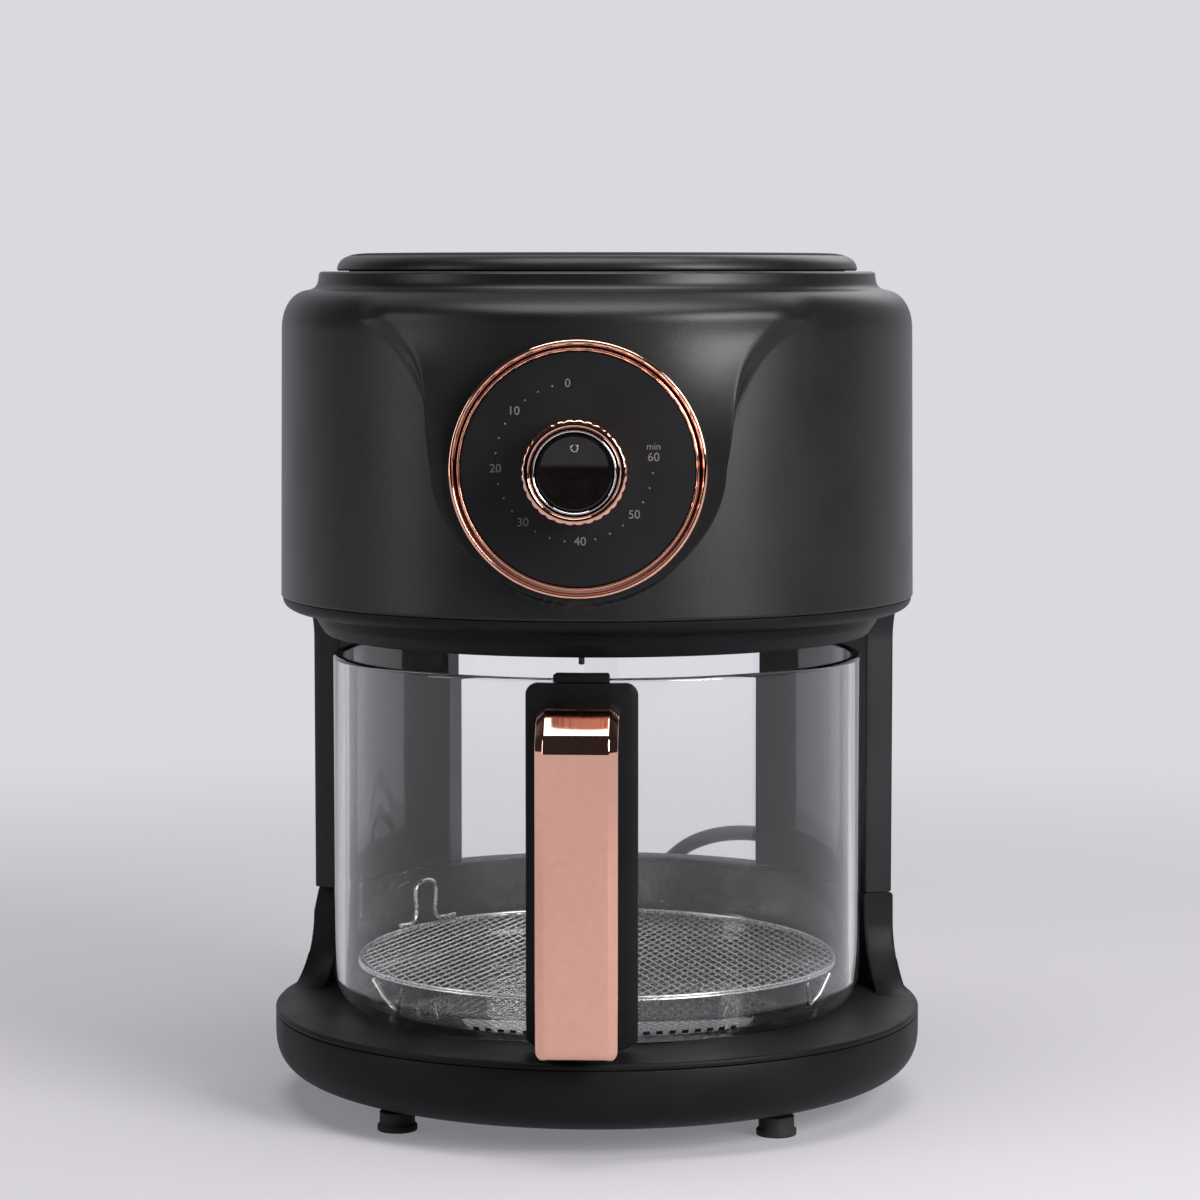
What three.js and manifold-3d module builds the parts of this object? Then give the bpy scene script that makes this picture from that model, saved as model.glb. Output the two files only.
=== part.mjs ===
// A glass air fryer: a round base and two rear columns carry a fixed round head above a glass pot.
// The pot draws out to the front by its handle, and a wire rack lifts out of it.
// Millimetres, +Z up, the front faces -Y. The origin is on the table, under the appliance's middle.

import * as THREE from 'three';
import { mergeVertices } from 'three/addons/utils/BufferGeometryUtils.js';
import Module from 'manifold-3d';

const wasm = await Module();
wasm.setup();

// Driving dimensions

const clearance = 0.3; // between pieces that touch or run in each other
const overrun = 4; // how far a cutter passes the wall that it cuts
const facets = { large: 32, medium: 24, small: 12, tiny: 8 }; // sides of round pieces by size

const base = {
  radius: 141.6, floor: 8.6, seam: 38.5, wall: 2.5, deckRise: 2.7, edge: 2.2, skirtDepth: 7.5, bossRadius: 5,
};
const panOutlineShares = [[0.77, 0], [0.92, 0.11], [0.975, 0.27], [1, 0.6]];
const bossShares = [0.550847, 0.317797]; // the base screws' places, of the base's radius
const footShares = [0.564972, 0.589689]; // the feet's places, of the base's radius
const foot = { radius: 7.5, tipRadius: 8.5, tip: 2.5, spigotRadius: 3.2, spigot: 5 };
const screw = { radius: 1.5, headRadius: 3.4, head: 2, length: 14 };

// Steps in from the next piece out are named setIn here, and heights are counted from what carries the piece.
const rearWall = {
  setIn: 3.4, depth: 13.5, height: 41.5, root: 1.3, wall: 2.5, startDeg: 18.2, fillet: 32, flare: 2.8,
};
const column = {
  setIn: 0.5, depth: 12.8, wall: 2.5, endDeg: 55.4, frontFlareDeg: 5, backFlareDeg: 3, flareHeight: 24,
  stepDeg: 7.8,
};
const post = { thickness: 3.2, width: 14, angleDeg: 35, lift: 4.8, above: 2.8 };
const innerLead = { radius: 1.8, angleDeg: 51, drop: 16.7, rise: 16.8, bend: 12, shieldGap: 0.7 };

const head = {
  setIn: 3.6, taper: 1, sideHeight: 117, shoulderRun: 14, shoulderRise: 15.5, ledgeIn: 2.7, ledgeRise: 8,
  ledgeWidth: 12.3, wall: 2.5,
};
const shoulderShares = [[0.83, 0.52], [0.46, 0.86]];
const boss = {
  proud: 2, radius: 54.5, lift: 7.1, wall: 2.5, depth: 16, flank: 7, flare: 42, flareHeight: 58, power: 3.6,
  bulge: 125, fadeBelow: 2, fade: 11, spanDeg: 60,
};
const vent = { count: 6, width: 5, height: 48, pitch: 13, rise: 41 };
const cap = { overlap: 5, height: 7.7, edge: 6.5, wall: 2.5, skirtWall: 2.5, skirtDepth: 6 };

const bezel = {
  setIn: 0.3, lip: 10.2, lipDrop: 6.1, lipStep: 3, grooveDrop: 2.9, groove: 1.5, overPot: 8.9, collarTaper: 5,
  collarEdge: 4, collarDrop: 16.2, collarLip: 5.2, upstand: 4.4, upstandWall: 2.5,
};
const shield = { setIn: 4.6, wall: 1.2, drop: 15.2, rise: 24.8, flange: 5.8, corner: 5, hole: 9 };
const guard = { setIn: 1.3, thickness: 1.1, spokes: 5, spokeDeg: 8, bandShares: [0.16, 0.52, 0.58, 0.93] };
const heater = { wire: 3.2, setIn: 12.2, pitch: 9, turns: 2, rise: 9, legAbove: 5, perTurn: 20 };
const fan = {
  setIn: 10, plate: 1, rise: 15, bladeDrop: 9, blades: 8, leanDeg: 12, hub: 9, hubBelow: 6, hubAbove: 7,
};
const coolingFan = { radius: 44, plate: 1, rise: 4, bladeRise: 9, blades: 7, leanDeg: 12, hub: 9 };
const shaft = { radius: 4, below: 2 };
const bridge = { setIn: 8, thickness: 2, gap: 7, legWidth: 10, legThickness: 4, legs: 3, hole: 8 };
const motor = { radius: 30, height: 28, noseRadius: 12, nose: 5 };
const thermostat = { radius: 8, height: 8, flangeRadius: 11, flange: 1.5, x: 62, y: 34 };

const dial = {
  plate: 1.8, margin: 2.5, ringWidth: 4.5, ringDepth: 3.4, ringValley: 1.7, ringLip: 2.2, innerBead: 1,
};
const timer = { size: 46, corner: 5, depth: 36, shaftRadius: 3, shaftIn: 24, shaftOut: 15 };
const knob = {
  radius: 21, scallops: 32, scallopDepth: 0.7, depth: 24.5, skirt: 3.7, recess: 3.4, ringWidth: 1.2,
  ringDepth: 2.2, faceGap: 0.5, faceDepth: 1.9, dish: 1.1, skirtGap: 0.6,
};

const pin = { radius: 1.25, setIn: 1.5, drop: 2.9, collarRadius: 2.1, collar: 1, above: 3.9 };
const spring = { wire: 0.35, radius: 1.9, turns: 3, gap: 0.3, height: 6 };
const microswitch = { halfWidth: 12, notch: 4.5, depth: 6.4, rise: 20, notchRise: 8.2 };

const pot = {
  backGap: 9, height: 154.1, wall: 4.2, floor: 3, outerCorner: 13, innerCorner: 10, rimRound: 1.4,
};
const clip = { width: 22.8, thickness: 1.7, lap: 9.5, outerReach: 2.5, drop: 1.3 };
const strap = { width: 46, thickness: 2.5, lift: 0.8, below: 1.6, corner: 5, chamfer: 6 };
const handle = {
  standOff: 39.5, width: 33.5, bevel: 3.2, drop: 6.5, lift: 3, bend: 17, frontDepth: 9, gripDepth: 4.7,
  coreWidth: 27, bridge: 15.5, lowerBridge: 13, lowerRise: 6, corner: 3.5, slope: 1.2, channel: 9,
};
const handleScrew = { radius: 1.3, headRadius: 2.6, head: 1.5, length: 4, inset: 26 };

const rack = {
  gap: 5.5, band: 2.4, rise: 15.3, depth: 2.4, netThickness: 1, netInset: 0.7, cellWidth: 20, cellHeight: 36,
  bar: 1.9, netBand: 3, wire: 1, turnDeg: 6.4, legDeg: 61, legSpreadDeg: 7, footIn: 4.8,
  loopDeg: 143, loopWidth: 13.5, loopHeight: 17, loopFoot: 12, loopWire: 1.1, loopBend: 2.6,
};

const cord = {
  radius: 3.4, glandRadius: 6.5, glandTip: 4.3, glandFlange: 2.5, glandLength: 24,
  glandNeck: 4.4, glandCollar: 7.5, angleDeg: 55.3, below: 8.7, pitch: 7.3, outerTurn: 41, turns: 3.5, lift: 1, loopSteps: 24, sides: 6,
  leadSides: 8,
};
const coilCentre = { x: -58, y: 216 };
const tie = { thickness: 0.7, width: 9, slack: 0.5 };
const plug = { length: 34, width: 26, height: 21.4, corner: 5, neck: 14, neckRadius: 5.5, x: 30, y: 250 };
const blade = { length: 16, width: 6.4, thickness: 1.5, spacing: 12.7, earthRadius: 2.4, earthOffset: 8.2 };

// Radii that follow, from the outside in

rearWall.outer = base.radius - rearWall.setIn;
rearWall.inner = rearWall.outer - rearWall.depth;
column.outer = rearWall.outer - column.setIn;
column.inner = column.outer - column.depth;
head.radius = base.radius - head.setIn;
head.upperRadius = head.radius - head.taper;
head.neckRadius = head.upperRadius - head.shoulderRun;
head.ledgeRadius = head.neckRadius - head.ledgeIn;
head.openingRadius = head.ledgeRadius - head.ledgeWidth;
boss.face = head.radius + boss.proud;
cap.radius = head.openingRadius + cap.overlap;
bezel.radius = head.radius - bezel.setIn;
bezel.lipRadius = bezel.radius - bezel.lip;
bezel.grooveRadius = bezel.lipRadius - bezel.lipStep;
bezel.collarRadius = bezel.grooveRadius - bezel.groove;
bezel.footRadius = bezel.collarRadius - bezel.collarTaper;
bezel.inner = bezel.footRadius - bezel.collarLip;
pin.orbit = bezel.footRadius - pin.setIn;
shield.radius = bezel.inner - shield.setIn;
shield.flangeRadius = shield.radius + shield.flange;
guard.radius = bezel.inner - guard.setIn;
heater.outer = shield.radius - heater.setIn;
heater.inner = heater.outer - heater.pitch * heater.turns;
fan.radius = heater.inner - fan.setIn;
bridge.radius = fan.radius - bridge.setIn;
dial.ringOuter = boss.radius - dial.margin;
dial.ringInner = dial.ringOuter - dial.ringWidth;
dial.plateRadius = dial.ringInner - clearance;
knob.coreRadius = knob.radius - knob.skirt;
knob.faceRadius = knob.coreRadius - clearance - knob.ringWidth - knob.faceGap;
pot.radius = rearWall.inner - pot.backGap;
rack.radius = pot.radius - pot.wall - rack.gap;
rack.footRadius = rack.radius - rack.footIn;
[base.bossX, base.bossY] = bossShares.map((share) => share * base.radius);
[foot.x, foot.y] = footShares.map((share) => share * base.radius);

// Heights that follow, from the table up

const panRim = base.seam - clearance;
const deckTop = base.seam + base.deckRise;
const deckUnder = deckTop - base.wall;
const potBottom = deckTop + clearance;
const potFloor = potBottom + pot.floor;
pot.rim = potBottom + pot.height;
rack.height = potFloor + rack.rise;
rearWall.top = deckTop + rearWall.height;
cord.height = rearWall.top - cord.below;
const columnBottom = rearWall.top + clearance;
const collarFoot = pot.rim + bezel.overPot;
head.bottom = collarFoot + clearance + bezel.collarDrop;
const columnTop = head.bottom - clearance;
const bezelTop = columnTop + base.wall;
head.shoulder = head.bottom + head.sideHeight;
head.neckHeight = head.shoulder + head.shoulderRise;
head.top = head.neckHeight + head.ledgeRise;
dial.height = head.bottom + boss.lift + boss.radius;
boss.fadeFrom = head.shoulder - boss.fadeBelow;
boss.fadeTop = boss.fadeFrom + boss.fade;
vent.bottom = head.bottom + vent.rise;
post.bottom = deckTop + post.lift;
post.top = bezelTop + post.above;
innerLead.bottom = rearWall.top - innerLead.drop;
innerLead.top = bezelTop + innerLead.rise;
shield.bottom = bezelTop - shield.drop;
shield.top = bezelTop + shield.rise;
heater.height = shield.bottom + heater.rise;
heater.legTop = shield.top + heater.legAbove;
fan.height = heater.height + fan.rise;
coolingFan.height = shield.top + coolingFan.rise;
bridge.height = coolingFan.height + coolingFan.bladeRise + bridge.gap;
shaft.bottom = fan.height - fan.hubBelow - shaft.below;
shaft.top = bridge.height + bridge.thickness + motor.height;
strap.bottom = deckTop + strap.lift;
strap.top = pot.rim - strap.below;
handle.top = strap.top - handle.drop;
handle.bottom = strap.bottom + handle.lift;

// Other places that several pieces share

const columnMiddle = (column.inner + column.outer) / 2;
innerLead.reach = columnMiddle - shield.radius * Math.cos(Math.PI / facets.medium) - innerLead.shieldGap;
const shieldTop = shield.top - shield.wall;
const plateFront = boss.face + clearance + dial.plate;
const strapFront = pot.radius + clearance + strap.thickness;
handle.front = strapFront + handle.standOff;

// Materials, by the look of each piece

const finish = (color, roughness, metalness = 0) =>
  new THREE.MeshStandardMaterial({ color, roughness, metalness });
const black = finish(0x202022, 0.55);
const satinBlack = finish(0x1b1b1d, 0.4);
const rubber = finish(0x151515, 0.9);
const roseGold = finish(0xd8a291, 0.18, 1);
const chrome = finish(0xd8d8da, 0.12, 1);
const glossBlack = finish(0x0b0a0a, 0.06);
const steel = finish(0xb9b9b6, 0.3, 1);
const darkSteel = finish(0x55524e, 0.5, 1);
const aluminium = finish(0xa9aaac, 0.45, 1);
const glass = finish(0xeaf2ef, 0.03);
glass.transparent = true;
glass.opacity = 0.3;
const cordBlack = finish(0x1a1a1a, 0.6);
const nickel = finish(0xc9c6bd, 0.25, 1);

// Solids

const radians = (degrees) => THREE.MathUtils.degToRad(degrees);
const polar = (radius, degrees, z = 0) =>
  new THREE.Vector3(radius * Math.cos(radians(degrees)), radius * Math.sin(radians(degrees)), z);

// One closed surface with shared corners and outward faces.
function closed(geometry) {
  geometry.deleteAttribute('normal');
  geometry.deleteAttribute('uv');
  const merged = mergeVertices(geometry, 1e-4);
  const place = merged.getAttribute('position');
  const [a, b, c] = [new THREE.Vector3(), new THREE.Vector3(), new THREE.Vector3()];
  const kept = [];
  let volume = 0;
  for (let i = 0; i < merged.index.count; i += 3) {
    const triangle = [0, 1, 2].map((k) => merged.index.getX(i + k));
    if (new Set(triangle).size === triangle.length) {
      kept.push(...triangle);
      a.fromBufferAttribute(place, triangle[0]);
      b.fromBufferAttribute(place, triangle[1]);
      c.fromBufferAttribute(place, triangle[2]);
      volume += a.dot(b.cross(c));
    }
  }
  if (volume < 0) kept.reverse();
  merged.setIndex(kept);
  return merged;
}

function solid(geometry) {
  const shape = closed(geometry);
  const vertProperties = Float32Array.from(shape.getAttribute('position').array);
  const triVerts = Uint32Array.from(shape.index.array);
  return new wasm.Manifold(new wasm.Mesh({ numProp: 3, vertProperties, triVerts }));
}

function geometryOf(body) {
  const mesh = body.getMesh();
  const geometry = new THREE.BufferGeometry();
  geometry.setAttribute('position', new THREE.BufferAttribute(mesh.vertProperties, 3));
  geometry.setIndex(new THREE.BufferAttribute(mesh.triVerts, 1));
  return geometry;
}

// A turned piece about Z from [radius, height] points. A ring's outline closes on itself.
function turned(points, sides = facets.large, ring = false) {
  const outline = ring ? [...points, points[0]] : points;
  const geometry = new THREE.LatheGeometry(outline.map(([r, z]) => new THREE.Vector2(r, z)), sides);
  return closed(geometry.rotateX(Math.PI / 2).rotateZ(Math.PI / 2));
}

// A turned piece whose axis runs to the front: heights count from the plane y towards the viewer.
function turnedToFront(points, y, z, sides, ring = false) {
  return turned(points, sides, ring).rotateX(Math.PI / 2).translate(0, y, z);
}

function block(x0, x1, y0, y1, z0, z1) {
  const geometry = new THREE.BoxGeometry(x1 - x0, y1 - y0, z1 - z0);
  return closed(geometry.translate((x0 + x1) / 2, (y0 + y1) / 2, (z0 + z1) / 2));
}

function rod(radius, z0, z1, x = 0, y = 0, sides = facets.small) {
  return turned([[0, z0], [radius, z0], [radius, z1], [0, z1]], sides).translate(x, y, 0);
}

function rodToFront(radius, y0, y1, z, sides = facets.small) {
  return turnedToFront([[0, -y0], [radius, -y0], [radius, -y1], [0, -y1]], 0, z, sides);
}

function outlineShape(points) {
  return new THREE.Shape(points.map(([x, y]) => new THREE.Vector2(x, y)));
}

function extruded(shape, depth, options = {}) {
  return closed(new THREE.ExtrudeGeometry(shape, { depth, bevelEnabled: false, curveSegments: 4, ...options }));
}

// An outline in the y, z plane drawn out along x about the middle.
function sideways(points, width, options = {}) {
  const bevel = options.bevelThickness ?? 0;
  const geometry = extruded(outlineShape(points), width - 2 * bevel, options);
  return geometry.translate(0, 0, bevel - width / 2).rotateX(Math.PI / 2).rotateZ(Math.PI / 2);
}

function roundedBox(width, height, corner) {
  const shape = new THREE.Shape();
  const [w, h] = [width / 2, height / 2];
  shape.moveTo(-w + corner, -h).lineTo(w - corner, -h).absarc(w - corner, -h + corner, corner, -Math.PI / 2, 0);
  shape.lineTo(w, h - corner).absarc(w - corner, h - corner, corner, 0, Math.PI / 2);
  shape.lineTo(-w + corner, h).absarc(-w + corner, h - corner, corner, Math.PI / 2, Math.PI);
  shape.lineTo(-w, -h + corner).absarc(-w + corner, -h + corner, corner, Math.PI, Math.PI * 1.5);
  return shape;
}

// A round wire along a curve.
function wire(curve, radius, sides, steps) {
  const section = new THREE.Shape();
  section.absarc(0, 0, radius, 0, 2 * Math.PI);
  const points = section.getSpacedPoints(sides).slice(0, sides);
  return extruded(new THREE.Shape(points), 0, { steps, extrudePath: curve });
}

// A line moved sideways by a distance, with its corners mitred.
function offsetLine(points, distance) {
  return points.map(([x, y], i) => {
    const [before, after] = [points[Math.max(i - 1, 0)], points[Math.min(i + 1, points.length - 1)]];
    const unit = ([px, py], [qx, qy]) => {
      const length = Math.hypot(qx - px, qy - py) || 1;
      return [(qx - px) / length, (qy - py) / length];
    };
    const [first, second] = [unit(before, [x, y]), unit([x, y], after)];
    const [inward, outward] = [first[0] || first[1] ? first : second, second[0] || second[1] ? second : first];
    const [nx, ny] = [-(inward[1] + outward[1]), inward[0] + outward[0]];
    const scale = distance / (1 + inward[0] * outward[0] + inward[1] * outward[1]);
    return [x + nx * scale, y + ny * scale];
  });
}

// Rings of points, one above the other, with equal counts, closed at both ends.
function lofted(rings, capTriangles) {
  const count = rings[0].length;
  const positions = rings.flat().flatMap((p) => [p.x, p.y, p.z]);
  const index = [];
  for (let row = 0; row + 1 < rings.length; row += 1) {
    for (let k = 0; k < count; k += 1) {
      const [a, b] = [row * count + k, row * count + ((k + 1) % count)];
      index.push(a, b, b + count, a, b + count, a + count);
    }
  }
  const last = (rings.length - 1) * count;
  for (const [a, b, c] of capTriangles) index.push(a, c, b, last + a, last + b, last + c);
  const geometry = new THREE.BufferGeometry();
  geometry.setAttribute('position', new THREE.Float32BufferAttribute(positions, 3));
  geometry.setIndex(index);
  return closed(geometry);
}

// A section of [radius, height] points swept round the axis: section(angle) gives them for each angle.
function sweptRound(angles, section) {
  const rings = angles.map((angle) => section(angle).map(([r, z]) => polar(r, angle, z)));
  const flat = section(angles[0]).map(([r, z]) => new THREE.Vector2(r, z));
  return lofted(rings, THREE.ShapeUtils.triangulateShape(flat, []));
}

// A sector between two radii, lofted over levels of { z, from, to, inner, outer }.
function sectorColumn(levels, steps) {
  const rings = levels.map(({ z, from, to, inner, outer }) => {
    const angles = Array.from({ length: steps + 1 }, (_, i) => from + ((to - from) * i) / steps);
    const far = angles.map((angle) => polar(outer, angle, z));
    const near = angles.map((angle) => polar(inner, angle, z)).reverse();
    return [...far, ...near];
  });
  const last = 2 * steps + 1;
  const strips = Array.from({ length: steps }, (_, i) => [[i, i + 1, last - i - 1], [i, last - i - 1, last - i]]);
  return lofted(rings, strips.flat());
}

function mirrored(geometry) {
  return closed(geometry.clone().scale(-1, 1, 1));
}

const range = (count) => Array.from({ length: count }, (_, i) => i);
const smooth = (x, from, to) => THREE.MathUtils.smoothstep(x, from, to);

// Assembly

const fryer = new THREE.Group();
const assembly = () => {
  const group = new THREE.Group();
  fryer.add(group);
  return group;
};
const [baseGroup, columnGroup, headGroup, dialGroup, potGroup, rackGroup, cordGroup] = range(7).map(assembly);

function add(group, name, geometry, material) {
  const mesh = new THREE.Mesh(geometry, material);
  mesh.name = name;
  group.add(mesh);
}

const heaterEnd = polar(heater.inner, 360 * heater.turns);

// Base

function panGeometry() {
  const rise = panRim - base.floor;
  const shares = panOutlineShares.map(([r, z]) => [base.radius * r, base.floor + rise * z]);
  const outer = [[0, base.floor], ...shares, [base.radius, panRim]];
  const inner = offsetLine(outer, base.wall).reverse();
  let pan = solid(turned([...outer, ...inner]));
  for (const [x, y] of corners(foot.x, foot.y)) {
    pan = pan.subtract(solid(drill(foot.spigotRadius + clearance, x, y)));
  }
  for (const [x, y] of corners(base.bossX, base.bossY)) {
    pan = pan.subtract(solid(drill(screw.radius + clearance, x, y)));
  }
  return geometryOf(pan);
}

function drill(radius, x, y) {
  return rod(radius, base.floor - overrun, base.floor + base.wall + overrun, x, y, facets.tiny);
}

function corners(x, y) {
  return [[-x, -y], [x, -y], [-x, y], [x, y]];
}

// The height of the rear wall falls in a concave curve at its two front ends.
function wallTop(angle) {
  const run = radians(rearWall.startDeg - angle) * rearWall.outer;
  if (run <= 0) return rearWall.top;
  const drop = Math.sqrt(Math.max(rearWall.fillet ** 2 - (rearWall.fillet - run) ** 2, 0));
  return deckTop + rearWall.fillet - drop;
}

function wallSolid() {
  const reach = THREE.MathUtils.radToDeg(rearWall.fillet / rearWall.outer);
  const curve = [1, 0.7, 0.44, 0.22, 0.06].map((share) => rearWall.startDeg - reach * share);
  const straight = range(9).map((i) => rearWall.startDeg + ((90 - rearWall.startDeg) * i) / 8);
  const half = [...curve, ...straight];
  const angles = [...half, ...half.slice(0, -1).reverse().map((angle) => 180 - angle)];
  const root = deckTop - rearWall.root;
  return solid(sweptRound(angles, (angle) => {
    const top = wallTop(Math.min(angle, 180 - angle));
    const waist = deckTop + Math.min(top - deckTop, rearWall.fillet / 2) / 2;
    return [
      [rearWall.inner, root], [rearWall.outer + rearWall.flare, root],
      [rearWall.outer + rearWall.flare / 4, waist], [rearWall.outer, top], [rearWall.inner, top],
    ];
  }));
}

function deckGeometry() {
  const [skirtOuter, e] = [base.radius - base.wall - clearance, base.edge];
  const [skirtInner, skirtEnd] = [skirtOuter - base.wall, base.seam - base.skirtDepth];
  const plate = turned([
    [0, deckUnder], [skirtInner, deckUnder], [skirtInner, skirtEnd], [skirtOuter, skirtEnd],
    [skirtOuter, base.seam], [base.radius, base.seam], [base.radius, deckTop - e * 0.7],
    [base.radius - e * 0.3, deckTop - e * 0.25], [base.radius - e, deckTop], [0, deckTop],
  ]);
  let deck = solid(plate).add(wallSolid());
  const hollow = (from) => sectorColumn([deckUnder - overrun, rearWall.top - rearWall.wall].map((z) => ({
    z, from, to: 180 - from, inner: rearWall.inner + rearWall.wall, outer: rearWall.outer - rearWall.wall,
  })), 14);
  deck = deck.subtract(solid(hollow(rearWall.startDeg + 1)));
  const slot = postGeometry(clearance, deckTop, rearWall.top + overrun);
  deck = deck.subtract(solid(slot)).subtract(solid(mirrored(slot)));
  const lead = polar(columnMiddle, innerLead.angleDeg);
  deck = deck.subtract(solid(rod(innerLead.radius + clearance, deckTop, rearWall.top + overrun, lead.x, lead.y)));
  deck = deck.subtract(solid(glandAlong([
    [0, -overrun], [cord.glandNeck + clearance, -overrun], [cord.glandNeck + clearance, overrun], [0, overrun],
  ], rearWall.outer)));
  for (const [x, y] of corners(base.bossX, base.bossY)) {
    const under = base.floor + base.wall + clearance;
    deck = deck.add(solid(rod(base.bossRadius, under, deckUnder + base.wall / 2, x, y)));
    const top = base.floor + screw.length;
    deck = deck.subtract(solid(rod(screw.radius + clearance, base.floor, top, x, y, facets.tiny)));
  }
  return geometryOf(deck);
}

add(baseGroup, 'base_pan', panGeometry(), satinBlack);
add(baseGroup, 'base_deck', deckGeometry(), satinBlack);

const cornerNames = ['front_left', 'front_right', 'rear_left', 'rear_right'];

corners(foot.x, foot.y).forEach(([x, y], i) => {
  const top = base.floor - clearance;
  const outline = [
    [0, 0], [foot.tipRadius, 0], [foot.tipRadius, foot.tip],
    [foot.radius, foot.tip + foot.tipRadius - foot.radius],
    [foot.radius, top], [foot.spigotRadius, top], [foot.spigotRadius, top + foot.spigot], [0, top + foot.spigot],
  ];
  add(baseGroup, `foot_${cornerNames[i]}`, turned(outline, facets.small).translate(x, y, 0), rubber);
});

corners(base.bossX, base.bossY).forEach(([x, y], i) => {
  const under = base.floor - clearance;
  const outline = [
    [0, under - screw.head], [screw.headRadius, under - screw.head], [screw.headRadius, under],
    [screw.radius, under], [screw.radius, under + screw.length - clearance],
    [0, under + screw.length - clearance],
  ];
  add(baseGroup, `base_screw_${cornerNames[i]}`, turned(outline, facets.tiny).translate(x, y, 0), steel);
});

// Columns

function columnLevels(grow, bottom, top, inset = 0) {
  const flare = [[0, 0], [0.35, 0.1], [0.7, 0.42], [1, 1]];
  const start = columnTop - column.flareHeight;
  const levels = flare.map(([share, amount]) => ({ z: start + column.flareHeight * share, amount }));
  const turnIn = THREE.MathUtils.radToDeg((inset - grow) / column.outer);
  return [{ z: bottom, amount: 0 }, ...levels.slice(0, -1), { z: top, amount: 1 }].map(({ z, amount }) => ({
    z,
    from: rearWall.startDeg - column.frontFlareDeg * amount + turnIn,
    to: column.endDeg + column.backFlareDeg * amount - turnIn,
    inner: column.inner + inset - grow,
    outer: column.outer + (bezel.radius - column.outer) * amount - inset + grow,
  }));
}

const columnSteps = Math.round((column.endDeg - rearWall.startDeg) / column.stepDeg);

function columnGeometry() {
  const body = solid(sectorColumn(columnLevels(0, columnBottom, columnTop), columnSteps));
  const hollow = columnLevels(0, columnBottom - overrun, columnTop + overrun, column.wall);
  return geometryOf(body.subtract(solid(sectorColumn(hollow, columnSteps))));
}

// A flat steel bar that stands inside the column and carries the head.
function postGeometry(grow, from, to) {
  const [thick, wide] = [post.thickness / 2 + grow, post.width / 2 + grow];
  const bar = block(columnMiddle - thick, columnMiddle + thick, -wide, wide, from, to);
  return bar.rotateZ(radians(post.angleDeg));
}

function innerLeadCurve() {
  const at = (inset, z) => polar(columnMiddle - inset, innerLead.angleDeg, z);
  const path = new THREE.CurvePath();
  const turn = innerLead.top - innerLead.bend;
  path.add(new THREE.LineCurve3(at(0, innerLead.bottom), at(0, turn)));
  path.add(new THREE.QuadraticBezierCurve3(at(0, turn), at(0, innerLead.top), at(innerLead.bend, innerLead.top)));
  path.add(new THREE.LineCurve3(at(innerLead.bend, innerLead.top), at(innerLead.reach, innerLead.top)));
  return path;
}

const rightColumn = columnGeometry();
const rightPost = postGeometry(0, post.bottom, post.top);
add(columnGroup, 'column_right', rightColumn, black);
add(columnGroup, 'column_left', mirrored(rightColumn), black);
add(columnGroup, 'post_right', rightPost, steel);
add(columnGroup, 'post_left', mirrored(rightPost), steel);
add(columnGroup, 'inner_lead', wire(innerLeadCurve(), innerLead.radius, 6, 12), cordBlack);

// Head

// The shell's front swells to a flat round face for the dial and flares into the shoulder above it.
function swell(angleFromFront, z, radius) {
  const turn = radians(angleFromFront);
  if (Math.abs(angleFromFront) > boss.spanDeg) return 0;
  const above = (z - dial.height) / boss.flareHeight;
  const round = Math.sqrt(Math.max(boss.radius ** 2 - Math.min(z - dial.height, 0) ** 2, 0));
  const half = round + boss.flare * Math.max(above, 0) ** boss.power;
  const x = Math.abs(radius * Math.sin(turn));
  const bend = smooth(z, dial.height, head.shoulder) / (2 * boss.bulge);
  const target = (boss.face - bend * x * x) / Math.cos(turn);
  const mask = 1 - smooth(x, half, half + boss.flank);
  const fade = smooth(z, head.bottom, head.bottom + boss.flank) * (1 - smooth(z, boss.fadeFrom, boss.fadeTop));
  return Math.max(target - radius, 0) * mask * fade;
}

const frontSteps = facets.large / 4; // half steps on each side of the front, drawn finer

function shellLines() {
  const risingShares = [0, 0.16, 0.53, 0.74, 0.89, 1];
  const rise = head.shoulder - head.bottom;
  const side = risingShares.map((share) => [
    head.radius + (head.upperRadius - head.radius) * share, head.bottom + rise * share,
  ]);
  const [run, climb] = [head.upperRadius - head.neckRadius, head.neckHeight - head.shoulder];
  const shoulder = shoulderShares.map(([r, z]) => [head.neckRadius + run * r, head.shoulder + climb * z]);
  const neck = (head.neckRadius + head.ledgeRadius) / 2;
  const outer = [
    ...side, ...shoulder, [head.neckRadius, head.neckHeight], [neck - head.wall / 5, head.neckHeight + head.wall],
    [head.ledgeRadius, head.top], [head.openingRadius, head.top],
  ];
  const under = head.top - head.wall;
  const inner = [
    [head.openingRadius, under], [head.ledgeRadius - head.wall, under],
    [head.neckRadius - head.wall, head.neckHeight - head.wall],
    [head.upperRadius - head.wall, head.shoulder], [head.radius - head.wall, head.bottom],
  ];
  return { outer, inner };
}

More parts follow.
